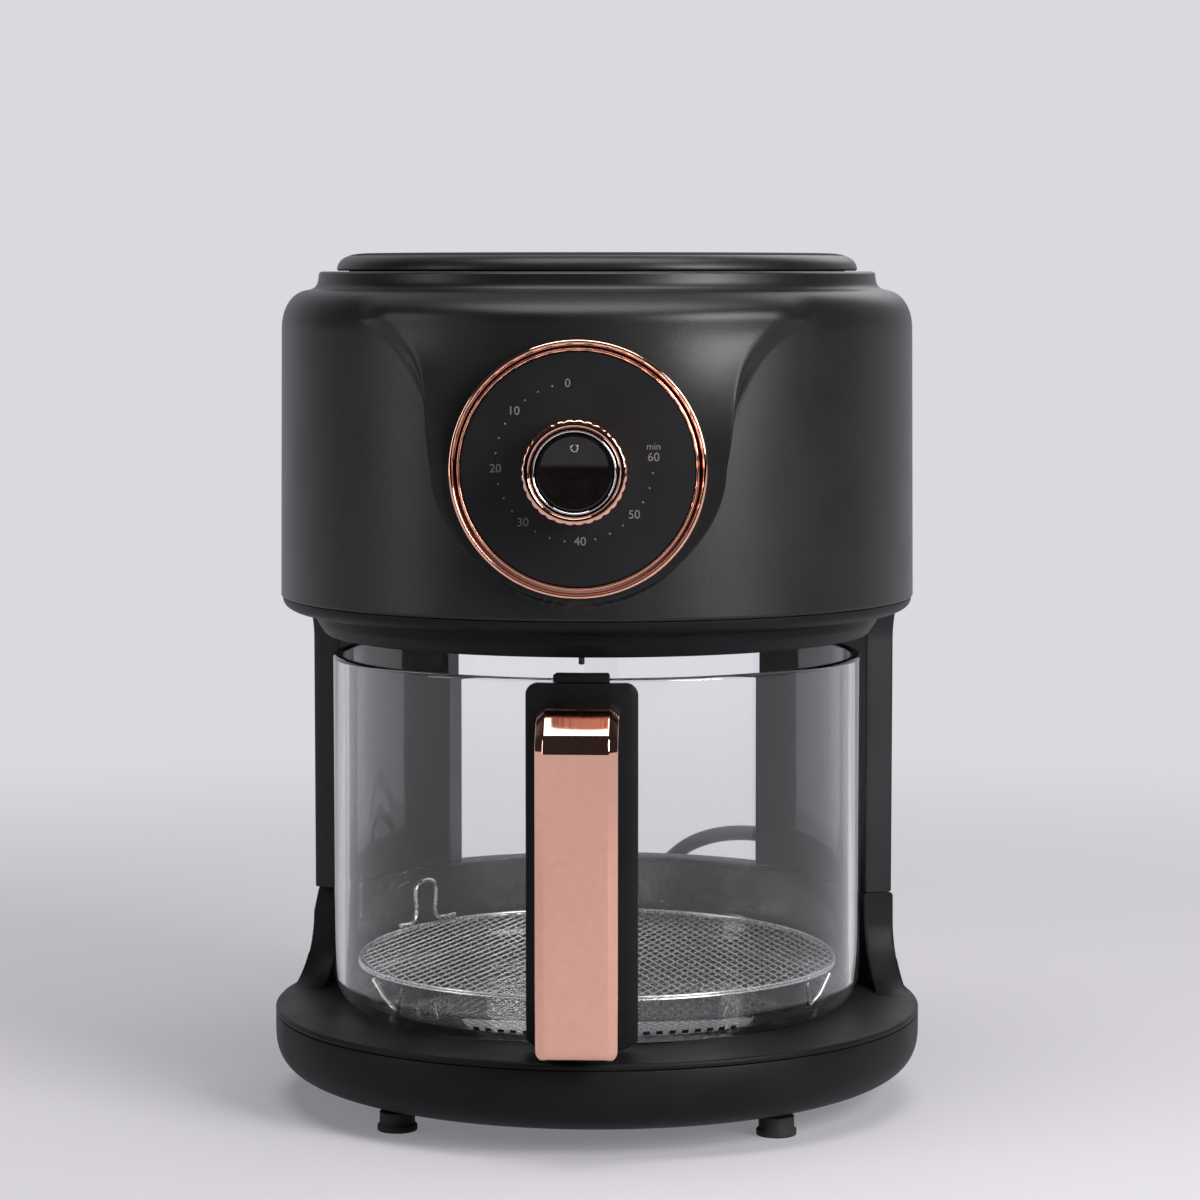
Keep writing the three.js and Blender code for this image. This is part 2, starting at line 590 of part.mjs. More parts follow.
function shellSurface() {
  const { outer, inner } = shellLines();
  const step = 360 / facets.large;
  const fine = range(2 * frontSteps + 1).map((i) => (i - frontSteps) * (step / 2));
  const coarse = range(facets.large - frontSteps - 1).map((i) => (frontSteps / 2 + 1 + i) * step);
  const turns = [...fine, ...coarse];
  const rows = [
    ...outer.map(([r, z]) => turns.map((turn) => polar(r + swell(turn, z, r), turn - 90, z))),
    ...inner.map(([r, z]) => turns.map((turn) => polar(r, turn - 90, z))),
  ];
  const count = turns.length;
  const index = [];
  rows.forEach((_, row) => {
    const next = (row + 1) % rows.length;
    for (let k = 0; k < count; k += 1) {
      const beside = (k + 1) % count;
      const [a, b, c, d] = [row * count + k, row * count + beside, next * count + beside, next * count + k];
      index.push(...(turns[k] >= 0 && turns[k] < 180 ? [a, b, c, a, c, d] : [a, b, d, b, c, d]));
    }
  });
  const geometry = new THREE.BufferGeometry();
  const positions = rows.flat().flatMap((p) => [p.x, p.y, p.z]);
  geometry.setAttribute('position', new THREE.Float32BufferAttribute(positions, 3));
  geometry.setIndex(index);
  return closed(geometry);
}

function shellGeometry() {
  let shell = solid(shellSurface());
  const backOfBoss = -boss.face + boss.depth;
  shell = shell.add(solid(rodToFront(boss.radius, backOfBoss, -boss.face, dial.height, facets.large)));
  const hollow = boss.radius - boss.wall;
  const deep = backOfBoss + boss.depth;
  shell = shell.subtract(solid(rodToFront(hollow, deep, -boss.face + boss.wall, dial.height, facets.large)));
  const bore = timer.shaftRadius + 2 * clearance;
  shell = shell.subtract(solid(rodToFront(bore, backOfBoss, -boss.face - overrun, dial.height)));
  for (const i of range(vent.count)) {
    const x = (i - (vent.count - 1) / 2) * vent.pitch;
    const [y0, y1] = [head.upperRadius - head.wall - 2 * overrun, head.radius + overrun];
    const slot = block(x - vent.width / 2, x + vent.width / 2, y0, y1, vent.bottom, vent.bottom + vent.height);
    shell = shell.subtract(solid(slot));
  }
  return geometryOf(shell);
}

function capGeometry() {
  const seat = head.top + clearance;
  const [top, e] = [seat + cap.height, cap.edge];
  const skirt = head.openingRadius - clearance;
  return turned([
    [0, top], [cap.radius - e, top], [cap.radius - e * 0.38, top - e * 0.17], [cap.radius, top - e * 0.75],
    [cap.radius, seat], [skirt, seat], [skirt, seat - cap.skirtDepth],
    [skirt - cap.skirtWall, seat - cap.skirtDepth], [skirt - cap.skirtWall, top - cap.wall], [0, top - cap.wall],
  ]);
}

function bezelGeometry() {
  const [top, e] = [columnTop, bezel.collarEdge];
  const upstand = head.radius - head.wall - clearance;
  const groove = top - bezel.grooveDrop;
  const ring = turned([
    [bezel.radius, top], [bezel.radius - e * 0.15, top - bezel.lipDrop * 0.36],
    [bezel.lipRadius + e, top - bezel.lipDrop * 0.93], [bezel.lipRadius, top - bezel.lipDrop],
    [bezel.grooveRadius, groove], [bezel.collarRadius, groove],
    [bezel.collarRadius - e * 0.2, collarFoot + e * 1.3],
    [bezel.footRadius, collarFoot], [bezel.inner + e * 0.4, collarFoot], [bezel.inner, collarFoot + e * 0.4],
    [bezel.inner, bezelTop], [upstand - bezel.upstandWall, bezelTop],
    [upstand - bezel.upstandWall, bezelTop + bezel.upstand], [upstand, bezelTop + bezel.upstand], [upstand, top],
  ], facets.large, true);
  let body = solid(ring);
  const levels = columnLevels(2 * clearance, columnBottom, columnTop + clearance);
  const socket = sectorColumn(levels.map((level) => ({ ...level, outer: bezel.radius + overrun })), columnSteps);
  body = body.subtract(solid(mirrored(socket))).subtract(solid(socket));
  const slot = postGeometry(clearance, columnTop - overrun, bezelTop + bezel.upstand + overrun);
  body = body.subtract(solid(slot)).subtract(solid(mirrored(slot)));
  const lead = polar(columnMiddle, innerLead.angleDeg);
  const leadHole = rod(innerLead.radius + clearance, columnTop - overrun, bezelTop + 2 * overrun, lead.x, lead.y);
  body = body.subtract(solid(leadHole));
  const bore = pin.radius + clearance;
  const pinHole = rod(bore, collarFoot - overrun, bezelTop + overrun, 0, -pin.orbit, facets.tiny);
  return geometryOf(body.subtract(solid(pinHole)));
}

function shieldGeometry() {
  const flange = bezelTop + clearance;
  const [inner, c] = [shield.radius - shield.wall, shield.corner];
  const bowl = turned([
    [shield.hole, shield.top], [shield.radius - c, shield.top], [shield.radius, shield.top - c],
    [shield.radius, flange + shield.wall], [shield.flangeRadius, flange + shield.wall],
    [shield.flangeRadius, flange], [shield.radius, flange], [shield.radius, shield.bottom],
    [inner, shield.bottom], [inner, shield.top - c], [inner - c, shieldTop], [shield.hole, shieldTop],
  ], facets.medium, true);
  let body = solid(bowl);
  for (const leg of [polar(heater.outer, 0), heaterEnd]) {
    const hole = rod(heater.wire + 2 * clearance, shieldTop - overrun, shield.top + overrun, leg.x, leg.y);
    body = body.subtract(solid(hole));
  }
  return geometryOf(body);
}

function guardGeometry() {
  const shape = new THREE.Shape(range(facets.large).map((i) => {
    const p = polar(guard.radius, (i * 360) / facets.large);
    return new THREE.Vector2(p.x, p.y);
  }));
  const [a, b, c, d] = guard.bandShares.map((share) => share * guard.radius);
  for (const [near, far] of [[a, b], [c, d]]) {
    for (const k of range(guard.spokes)) {
      const gap = (guard.spokeDeg * d) / far / 2;
      const [from, to] = [(k * 360) / guard.spokes + gap, ((k + 1) * 360) / guard.spokes - gap];
      const arc = range(5).map((i) => from + ((to - from) * i) / 4);
      const hole = [...arc.map((t) => polar(far, t)), ...arc.reverse().map((t) => polar(near, t))];
      shape.holes.push(new THREE.Path(hole.map((p) => new THREE.Vector2(p.x, p.y))));
    }
  }
  const top = shield.bottom - clearance;
  return extruded(shape, guard.thickness).translate(0, 0, top - guard.thickness);
}

// A flat spiral tube whose two ends rise through the shield.
function heaterGeometry() {
  const steps = heater.turns * heater.perTurn;
  const points = range(steps + 1).map((i) => {
    const share = i / steps;
    const radius = heater.outer + (heater.inner - heater.outer) * share;
    return polar(radius, 360 * heater.turns * share, heater.height);
  });
  let body = solid(wire(new THREE.CatmullRomCurve3(points, false, 'centripetal'), heater.wire, 6, steps));
  for (const leg of [polar(heater.outer, 0), heaterEnd]) {
    const from = heater.height - heater.wire / 2;
    body = body.add(solid(rod(heater.wire, from, heater.legTop, leg.x, leg.y, facets.tiny)));
  }
  return geometryOf(body);
}

function bladedDisc(size, bladeFrom, bladeTo, hubFrom, hubTo) {
  let body = solid(rod(size.radius, size.height, size.height + size.plate, 0, 0, facets.medium));
  body = body.add(solid(rod(size.hub, hubFrom, hubTo)));
  const start = size.hub + size.radius / 8;
  for (const k of range(size.blades)) {
    const bladeSolid = block(start, size.radius * 0.97, -size.plate / 2, size.plate / 2, bladeFrom, bladeTo);
    const leaned = bladeSolid.rotateZ(radians(size.leanDeg + (k * 360) / size.blades));
    body = body.add(solid(leaned));
  }
  return geometryOf(body.subtract(solid(rod(shaft.radius + clearance, hubFrom - overrun, hubTo + overrun))));
}

function bridgeGeometry() {
  let body = solid(rod(bridge.radius, bridge.height, bridge.height + bridge.thickness, 0, 0, facets.medium));
  body = body.subtract(solid(rod(bridge.hole, bridge.height - overrun, bridge.height + overrun)));
  for (const k of range(bridge.legs)) {
    const far = bridge.radius - bridge.thickness;
    const [half, stand] = [bridge.legWidth / 2, shield.top + clearance];
    const leg = block(far - bridge.legThickness, far, -half, half, stand, bridge.height + bridge.thickness / 2);
    body = body.add(solid(leg.rotateZ(radians(60 + (k * 360) / bridge.legs))));
  }
  return geometryOf(body);
}

function motorGeometry() {
  const from = bridge.height + bridge.thickness + clearance;
  const [bore, top] = [shaft.radius + clearance, from + motor.height];
  return turned([
    [0, shaft.top + clearance], [bore, shaft.top + clearance], [bore, from], [motor.radius, from],
    [motor.radius, top], [motor.noseRadius, top], [motor.noseRadius, top + motor.nose], [0, top + motor.nose],
  ], facets.medium);
}

function thermostatGeometry() {
  const seat = shield.top + clearance;
  return turned([
    [0, seat], [thermostat.flangeRadius, seat], [thermostat.flangeRadius, seat + thermostat.flange],
    [thermostat.radius, seat + thermostat.flange], [thermostat.radius, seat + thermostat.height],
    [0, seat + thermostat.height],
  ], facets.small).translate(thermostat.x, thermostat.y, 0);
}

add(headGroup, 'head_shell', shellGeometry(), black);
add(headGroup, 'top_cap', capGeometry(), black);
add(headGroup, 'head_bezel', bezelGeometry(), black);
add(headGroup, 'heat_shield', shieldGeometry(), steel);
add(headGroup, 'heater_guard', guardGeometry(), steel);
add(headGroup, 'heater_element', heaterGeometry(), darkSteel);
add(headGroup, 'convection_fan', bladedDisc(
  fan, fan.height - fan.bladeDrop, fan.height + fan.plate / 2,
  fan.height - fan.hubBelow, fan.height + fan.hubAbove,
), aluminium);
add(headGroup, 'cooling_fan', bladedDisc(
  coolingFan, coolingFan.height + coolingFan.plate / 2, coolingFan.height + coolingFan.bladeRise,
  coolingFan.height, coolingFan.height + coolingFan.bladeRise,
), black);
add(headGroup, 'motor_shaft', rod(shaft.radius, shaft.bottom, shaft.top), steel);
add(headGroup, 'motor_bridge', bridgeGeometry(), steel);
add(headGroup, 'fan_motor', motorGeometry(), darkSteel);
add(headGroup, 'thermostat', thermostatGeometry(), nickel);

// Door switch under the collar's front

const pinFoot = collarFoot - pin.drop;
const pinTop = bezelTop + clearance + pin.collar + pin.above;
const springFoot = bezelTop + clearance + pin.collar + clearance;

function pinGeometry() {
  const collar = bezelTop + clearance;
  return turned([
    [0, pinFoot], [pin.radius * 0.7, pinFoot], [pin.radius, pinFoot + pin.radius / 2], [pin.radius, collar],
    [pin.collarRadius, collar], [pin.collarRadius, collar + pin.collar], [pin.radius, collar + pin.collar],
    [pin.radius, pinTop], [0, pinTop],
  ], facets.tiny).translate(0, -pin.orbit, 0);
}

function springCurve() {
  const perTurn = 8;
  const steps = spring.turns * perTurn;
  const low = springFoot + spring.wire;
  const rise = spring.height - 2 * spring.wire;
  const points = range(steps + 1).map((i) => {
    const p = polar(spring.radius, (i * 360) / perTurn, low + (rise * i) / steps);
    return p.add(new THREE.Vector3(0, -pin.orbit, 0));
  });
  return new THREE.CatmullRomCurve3(points);
}

function microswitchGeometry() {
  const [w, n, seat] = [microswitch.halfWidth, microswitch.notch, bezelTop + clearance];
  const [top, notchTop] = [seat + microswitch.rise, seat + microswitch.notchRise];
  const outline = [
    [-w, seat], [-n, seat], [-n, notchTop], [n, notchTop], [n, seat], [w, seat], [w, top], [-w, top],
  ];
  const geometry = extruded(outlineShape(outline), microswitch.depth).rotateX(Math.PI / 2);
  return geometry.translate(0, -pin.orbit + microswitch.depth / 2 - pin.radius * 0.3, 0);
}

add(headGroup, 'sensor_pin', pinGeometry(), black);
add(headGroup, 'sensor_spring', wire(springCurve(), spring.wire, 5, spring.turns * 8), steel);
add(headGroup, 'microswitch', microswitchGeometry(), black);

// Dial and knob

function timerGeometry() {
  const back = boss.face - boss.wall - clearance;
  const body = solid(extruded(roundedBox(timer.size, timer.size, timer.corner), timer.depth)
    .rotateX(Math.PI / 2).translate(0, -back + timer.depth, dial.height));
  const bore = timer.shaftRadius + clearance;
  const deepest = -back + timer.shaftIn + clearance;
  return geometryOf(body.subtract(solid(rodToFront(bore, deepest, -back - overrun, dial.height))));
}

function dialPlateGeometry() {
  const hole = timer.shaftRadius + 2 * clearance;
  return turnedToFront([
    [hole, 0], [dial.plateRadius, 0], [dial.plateRadius, dial.plate], [hole, dial.plate],
  ], -boss.face - clearance, dial.height, facets.large, true);
}

function dialRingGeometry() {
  const { ringOuter, ringInner, ringDepth, ringValley, ringLip, innerBead } = dial;
  const width = ringOuter - ringInner;
  return turnedToFront([
    [ringInner, 0], [ringOuter, 0], [ringOuter, ringDepth * 0.7], [ringOuter - width * 0.22, ringDepth],
    [ringOuter - width * 0.5, ringValley], [ringInner + innerBead / 2, ringLip], [ringInner, ringLip * 0.7],
  ], -boss.face - clearance, dial.height, facets.large, true);
}

const knobBack = plateFront + clearance;
const knobFront = plateFront + knob.depth;
const coreFront = knobFront - knob.recess;

function knobCoreGeometry() {
  const end = plateFront + timer.shaftOut + clearance;
  const bore = timer.shaftRadius + clearance;
  return turnedToFront([
    [0, end], [bore, end], [bore, knobBack], [knob.coreRadius, knobBack],
    [knob.coreRadius, coreFront], [0, coreFront],
  ], 0, dial.height, facets.medium);
}

function knobSkirtGeometry() {
  const outline = range(knob.scallops * 2).map((i) => {
    const p = polar(knob.radius - (i % 2) * knob.scallopDepth, (i * 180) / knob.scallops);
    return new THREE.Vector2(p.x, p.y);
  });
  const shape = new THREE.Shape(outline);
  const hole = range(facets.medium).map((i) => {
    const p = polar(knob.coreRadius + clearance, (i * 360) / facets.medium);
    return new THREE.Vector2(p.x, p.y);
  });
  shape.holes.push(new THREE.Path(hole));
  const back = knobBack + knob.skirtGap;
  return extruded(shape, knobFront - back).rotateX(Math.PI / 2).translate(0, -back, dial.height);
}

function knobRingGeometry() {
  const outer = knob.coreRadius - clearance;
  const inner = outer - knob.ringWidth;
  return turnedToFront([
    [inner, 0], [outer, 0], [outer, knob.ringDepth], [inner, knob.ringDepth],
  ], -coreFront - clearance, dial.height, facets.medium, true);
}

function knobFaceGeometry() {
  return turnedToFront([
    [0, 0], [knob.faceRadius, 0], [knob.faceRadius, knob.faceDepth],
    [knob.faceRadius * 0.6, knob.faceDepth - knob.dish * 0.75], [0, knob.faceDepth - knob.dish],
  ], -coreFront - clearance, dial.height, facets.medium);
}

const shaftBack = boss.face - boss.wall - clearance - timer.shaftIn;
const shaftFront = plateFront + timer.shaftOut;
add(dialGroup, 'timer_body', timerGeometry(), nickel);
add(dialGroup, 'timer_shaft', rodToFront(timer.shaftRadius, -shaftBack, -shaftFront, dial.height), steel);
add(dialGroup, 'dial_plate', dialPlateGeometry(), satinBlack);
add(dialGroup, 'dial_ring', dialRingGeometry(), roseGold);
add(dialGroup, 'knob_core', knobCoreGeometry(), black);
add(dialGroup, 'knob_skirt', knobSkirtGeometry(), roseGold);
add(dialGroup, 'knob_ring', knobRingGeometry(), chrome);
add(dialGroup, 'knob_face', knobFaceGeometry(), glossBlack);

// Pot and handle

// A round corner from the bottom face to the side, as [radius, height] points.
function corner(radius, bottom, size, steps) {
  return range(steps + 1).map((i) => {
    const turn = (Math.PI / 2) * (i / steps);
    return [radius - size + size * Math.sin(turn), bottom + size - size * Math.cos(turn)];
  });
}

function potGeometry() {
  const inner = pot.radius - pot.wall;
  const r = pot.rimRound;
  return turned([
    [0, potBottom], ...corner(pot.radius, potBottom, pot.outerCorner, 3),
    [pot.radius, pot.rim - r], [pot.radius - r * 0.7, pot.rim], [inner + r * 0.7, pot.rim], [inner, pot.rim - r],
    ...corner(inner, potFloor, pot.innerCorner, 2).reverse(), [0, potFloor],
  ]);
}

// The distance from the axis to the flat of a round piece's side, at an angle.
function onFacet(radius, angle) {
  const step = 360 / facets.large;
  const fromMiddle = ((((angle + 90) % step) + step) % step) - step / 2;
  return (radius * Math.cos(radians(step / 2))) / Math.cos(radians(fromMiddle));
}

function clipGeometry() {
  const t = clip.thickness;
  const [inside, outside] = [pot.radius - pot.wall - clearance, pot.radius + clearance];
  const [under, top] = [pot.rim + clearance, pot.rim + clearance + t];
  const outer = outside + clip.outerReach;
  const half = THREE.MathUtils.radToDeg(clip.width / 2 / pot.radius);
  const angles = range(3).map((i) => -90 - half + half * i);
  const lap = strap.top + clearance;
  return sweptRound(angles, (angle) => {
    const near = onFacet(inside, angle);
    return [
      [outer, lap], [outer, top], [near - t, top], [near - t, pot.rim - clip.lap],
      [near, pot.rim - clip.lap], [near, under], [outside, under], [outside, lap],
    ];
  });
}

function strapGeometry() {
  const [w, c] = [strap.width / 2, strap.chamfer];
  const shape = new THREE.Shape();
  shape.moveTo(-w + c, strap.bottom).lineTo(w - c, strap.bottom).lineTo(w, strap.bottom + c * 0.6);
  shape.lineTo(w, strap.top - strap.corner);
  shape.absarc(w - strap.corner, strap.top - strap.corner, strap.corner, 0, Math.PI / 2);
  shape.lineTo(-w + strap.corner, strap.top);
  shape.absarc(-w + strap.corner, strap.top - strap.corner, strap.corner, Math.PI / 2, Math.PI);
  shape.lineTo(-w, strap.bottom + c * 0.6);
  const drawn = extruded(shape, strap.width).rotateX(Math.PI / 2);
  const plate = solid(drawn.translate(0, -pot.radius + strap.width / 2, 0));
  const inner = pot.radius + clearance;
  const half = THREE.MathUtils.radToDeg((strap.width / 2 + overrun) / inner);
  const angles = range(9).map((i) => -90 - half + (2 * half * i) / 8);
  const [low, high] = [strap.bottom - overrun, strap.top + overrun];
  const curved = sweptRound(angles, () => [
    [inner, low], [inner + strap.thickness, low], [inner + strap.thickness, high], [inner, high],
  ]);
  return geometryOf(plate.intersect(solid(curved)));
}

const coreBack = strapFront + clearance;
const coreFace = handle.front - handle.frontDepth - clearance;
const gripBack = coreFace - handle.gripDepth;

// A quarter turn between two directions of a side outline, as [y, z] points.
function bendPoints(y, z, radius, fromDeg, toDeg, steps = 5) {
  return range(steps + 1).map((i) => {
    const turn = radians(fromDeg + ((toDeg - fromDeg) * i) / steps);
    return [y + radius * Math.cos(turn), z + radius * Math.sin(turn)];
  });
}

function handleShellGeometry() {
  const { front, top, bend, frontDepth, bottom, corner: c, slope, bevel } = handle;
  const back = strapFront + handle.channel;
  const inner = bend - frontDepth;
  const outline = [
    [-back, top], ...bendPoints(-front + bend, top - slope - bend, bend, 90, 180),
    ...bendPoints(-front + c, bottom + c, c, 180, 270, 2), [-front + frontDepth, bottom],
    ...bendPoints(-front + bend, top - slope - bend, inner, 180, 90, 3), [-back, top - frontDepth],
  ];
  const b = bevel / 2;
  const shrunk = offsetLine([...outline, outline[0], outline[1]], b).slice(1, -1);
  const rounding = { bevelEnabled: true, bevelSize: b, bevelThickness: b, bevelSegments: 1 };
  return sideways(shrunk, handle.width, rounding);
}

function handleCoreGeometry() {
  const { front, top, bend, bottom, slope, frontDepth, bridge: depth, lowerBridge, lowerRise, channel } = handle;
  const under = top - depth;
  const inner = bend - frontDepth - clearance;
  const low = bottom + lowerRise;
  const ledge = strapFront + channel - clearance;
  const seam = top - frontDepth - clearance;
  const outline = [
    [-coreBack, top], [-ledge, top], [-ledge, seam],
    ...bendPoints(-front + bend, top - slope - bend, inner, 90, 180, 3), [-coreFace, low],
    [-coreBack, low], [-coreBack, low + lowerBridge], [-gripBack, low + lowerBridge],
    [-gripBack, under - bend / 4], [-gripBack + bend / 4, under], [-coreBack, under],
  ];
  let core = solid(sideways(outline, handle.coreWidth));
  for (const z of screwHeights) {
    const from = -gripBack + overrun;
    const to = -gripBack - handleScrew.length;
    core = core.subtract(solid(rodToFront(handleScrew.radius + clearance, from, to, z, facets.tiny)));
  }
  return geometryOf(core);
}

const screwHeights = [
  handle.bottom + handle.lowerRise + handle.lowerBridge + handleScrew.inset / 2,
  handle.top - handle.bridge - handleScrew.inset,
];

add(potGroup, 'glass_pot', potGeometry(), glass);
add(potGroup, 'rim_clip', clipGeometry(), black);
add(potGroup, 'handle_strap', strapGeometry(), black);
add(potGroup, 'handle_core', handleCoreGeometry(), black);
add(potGroup, 'handle_shell', handleShellGeometry(), roseGold);
['lower', 'upper'].forEach((name, i) => {
  const face = gripBack - clearance;
  const outline = [
    [0, face - handleScrew.head], [handleScrew.headRadius, face - handleScrew.head],
    [handleScrew.headRadius, face], [handleScrew.radius, face],
    [handleScrew.radius, face + handleScrew.length], [0, face + handleScrew.length],
  ];
  add(potGroup, `handle_screw_${name}`, turnedToFront(outline, 0, screwHeights[i], facets.tiny), steel);
});

// Rack

const rimTop = rack.height + rack.depth;

function netGeometry() {
  const radius = rack.radius - rack.band - clearance;
  const shape = new THREE.Shape(range(facets.large).map((i) => {
    const p = polar(radius, (i * 360) / facets.large);
    return new THREE.Vector2(p.x, p.y);
  }));
  const [w, h] = [rack.cellWidth, rack.cellHeight];
  const slant = Math.hypot(w, h);
  const [holeX, holeY] = [w / 2 - (rack.bar * slant) / (2 * h), h / 2 - (rack.bar * slant) / (2 * w)];
  const reach = radius - rack.netBand;
  for (const row of range(2 * Math.ceil((2 * reach) / h) + 1)) {
    const y = (row - Math.ceil((2 * reach) / h)) * (h / 2);
    for (const cell of range(2 * Math.ceil(reach / w) + 1)) {
      const x = (cell - Math.ceil(reach / w) + (row % 2) / 2) * w;
      if (Math.max(Math.hypot(Math.abs(x) + holeX, y), Math.hypot(x, Math.abs(y) + holeY)) < reach) {
        const hole = [[x + holeX, y], [x, y + holeY], [x - holeX, y], [x, y - holeY]];
        shape.holes.push(new THREE.Path(hole.map(([u, v]) => new THREE.Vector2(u, v))));
      }
    }
  }
  return extruded(shape, rack.netThickness).translate(0, 0, rack.height + rack.netInset);
}

// A bent wire leg: down from the rim to its foot and up again.
function legGeometry(angle) {
  const top = rack.height - clearance - rack.wire;
  const rim = rack.radius - rack.band / 2;
  const low = potFloor + clearance + rack.wire;
  const [side, out] = [rack.legSpreadDeg, rack.footRadius];
  const points = [
    polar(rim, angle - side, top), polar((rim * 2 + out) / 3, angle - side * 0.72, (top * 2 + low) / 3),
    polar(out, angle - side * 0.16, low + rack.wire / 4), polar(out, angle, low),
    polar(out, angle + side * 0.16, low + rack.wire / 4),
    polar((rim * 2 + out) / 3, angle + side * 0.72, (top * 2 + low) / 3), polar(rim, angle + side, top),
  ];
  return wire(new THREE.CatmullRomCurve3(points, false, 'centripetal'), rack.wire, 6, 10);
}

// A lifting loop that stands on the rim, with its two feet along it.
function loopGeometry() {
  const [w, r] = [rack.loopWidth / 2, rack.loopBend];
  const low = rimTop + clearance + rack.loopWire;
  const high = low + rack.loopHeight;
  const flat = [
    [-w - rack.loopFoot, low], [-w - r, low], [-w, low + r], [-w, high - r], [-w + r, high],
    [w - r, high], [w, high - r], [w, low + r], [w + r, low], [w + rack.loopFoot, low],
  ];
  const rim = rack.radius - rack.band / 2;
  const points = flat.map(([along, z]) => polar(rim, rack.loopDeg - THREE.MathUtils.radToDeg(along / rim), z));
  return wire(new THREE.CatmullRomCurve3(points, false, 'centripetal'), rack.loopWire, 6, 22);
}

add(rackGroup, 'rack_rim', turned([
  [rack.radius - rack.band, rack.height], [rack.radius, rack.height], [rack.radius, rimTop],
  [rack.radius - rack.band, rimTop],
], facets.large, true), steel);
add(rackGroup, 'rack_net', netGeometry(), steel);
const rackFront = rack.turnDeg - 90; // the rack stands a little turned in the pot
add(rackGroup, 'rack_leg_right', legGeometry(rackFront + rack.legDeg), steel);
add(rackGroup, 'rack_leg_left', legGeometry(rackFront - rack.legDeg), steel);
add(rackGroup, 'rack_leg_rear', legGeometry(rackFront + 180), steel);
add(rackGroup, 'rack_loop', loopGeometry(), steel);

// Cord

// A turned piece on the cord's exit line: heights count outwards from the given radius.
function glandAlong(points, radius) {
  const geometry = turned(points, facets.small).rotateY(Math.PI / 2).rotateZ(radians(cord.angleDeg));
  const at = polar(radius, cord.angleDeg, cord.height);
  return geometry.translate(at.x, at.y, at.z);
}

function glandGeometry() {
  const out = rearWall.flare / 4 + clearance;
  return glandAlong([
    [0, -rearWall.wall], [cord.glandNeck, -rearWall.wall], [cord.glandNeck, out], [cord.glandCollar, out],
    [cord.glandCollar, out + cord.glandFlange], [cord.glandRadius, out + cord.glandFlange],
    [cord.glandTip, out + cord.glandLength], [0, out + cord.glandLength],
  ], rearWall.outer);
}

const glandEnd = rearWall.outer + rearWall.flare / 4 + 2 * clearance + cord.glandLength;
const exit = polar(glandEnd, cord.angleDeg, cord.height);
const lying = cord.radius + cord.lift;

// The lead's route from the gland over its arch and down to the table beside the coil.
const leadPoints = [
  [exit.x, exit.y, exit.z], [96.5, 139.2, 74.6], [99, 151, 76.6], [96.2, 162, 79.4], [87, 171, 82.4],
  [75, 175.2, 84.3], [62, 176, 84.9], [49, 175.6, 83.6], [37, 175.2, 79.6], [27, 175, 72.6], [18.5, 175, 63.6],
  [10, 175, 53.6], [1.5, 175, 43.2], [-7, 175, 32.8], [-15.5, 175, 22.6], [-24, 175, 13.8], [-32.5, 175, 8.1],
  [-41, 175, 4.9],
];

// The coil: a spiral that runs in on the lower layer and out again on the upper one.
function coilPoint(share) {
  const turn = 360 * cord.turns * share;
  const spiral = cord.turns * Math.min(share, 1 - share);
  const climb = smooth(turn, 180 * cord.turns - 90, 180 * cord.turns + 90);
  const p = polar(cord.outerTurn - cord.pitch * spiral, -90 - turn, lying + cord.pitch * climb);
  return p.add(new THREE.Vector3(coilCentre.x, coilCentre.y, 0));
}

const coilSteps = cord.turns * cord.loopSteps;
const coilPoints = range(coilSteps + 1).map((i) => coilPoint(i / coilSteps));

function straightEnds(points, length) {
  const [first, last] = [points[0], points[points.length - 1]];
  const along = (p, q) => p.clone().add(q.clone().multiplyScalar(length));
  return [
    along(first, new THREE.Vector3(1, 0, 0)), ...points, along(last, new THREE.Vector3(1, 0, 0)),
  ];
}

// The least gap between two stretches of the coil that are at least half a turn apart.
function leastGap(points) {
  let least = Infinity;
  points.forEach((p, i) => points.forEach((q, j) => {
    if (j - i > cord.loopSteps / 2) least = Math.min(least, p.distanceTo(q));
  }));
  return least - 2 * cord.radius;
}

const coilRoute = straightEnds(coilPoints, 2 * cord.radius);
console.log('least gap of the coil to itself, mm', leastGap(coilPoints).toFixed(3));

const coilStart = coilRoute[0];
const coilEnd = coilRoute[coilRoute.length - 1];
const plugMiddle = plug.height / 2;
const plugNeck = plug.x - plug.neck;
const leadRoute = [
  ...leadPoints.map((p) => new THREE.Vector3(...p)),
  new THREE.Vector3(coilStart.x + 2 * cord.radius, coilStart.y, coilStart.z),
  new THREE.Vector3(coilStart.x + clearance, coilStart.y, coilStart.z),
];
const tailRoute = [
  new THREE.Vector3(coilEnd.x + clearance, coilEnd.y, coilEnd.z),
  new THREE.Vector3(coilEnd.x + 2 * cord.radius, coilEnd.y, coilEnd.z), new THREE.Vector3(-30, 254.5, 11.3),
  new THREE.Vector3(-15, 251.8, 10.9),
  new THREE.Vector3(plugNeck - 3 * cord.radius, plug.y, plugMiddle),
  new THREE.Vector3(plugNeck - clearance, plug.y, plugMiddle),
];

function cordAlong(points, sides, steps) {
  return wire(new THREE.CatmullRomCurve3(points, false, 'centripetal'), cord.radius, sides, steps);
}

function tieGeometry() {
  const [t, s] = [tie.thickness, tie.slack];
  const inner = coilCentre.x - cord.outerTurn - cord.radius - s;
  const far = coilCentre.x - cord.outerTurn + cord.pitch * (cord.turns / 2) + cord.radius + s;
  const [low, top] = [cord.lift - clearance, lying + cord.pitch + cord.radius + s];
  const half = tie.width / 2;
  const outer = block(inner - t, far + t, coilCentre.y - half, coilCentre.y + half, low - t, top + t);
  const hole = block(inner, far, coilCentre.y - half - overrun, coilCentre.y + half + overrun, low, top);
  return geometryOf(solid(outer).subtract(solid(hole)));
}

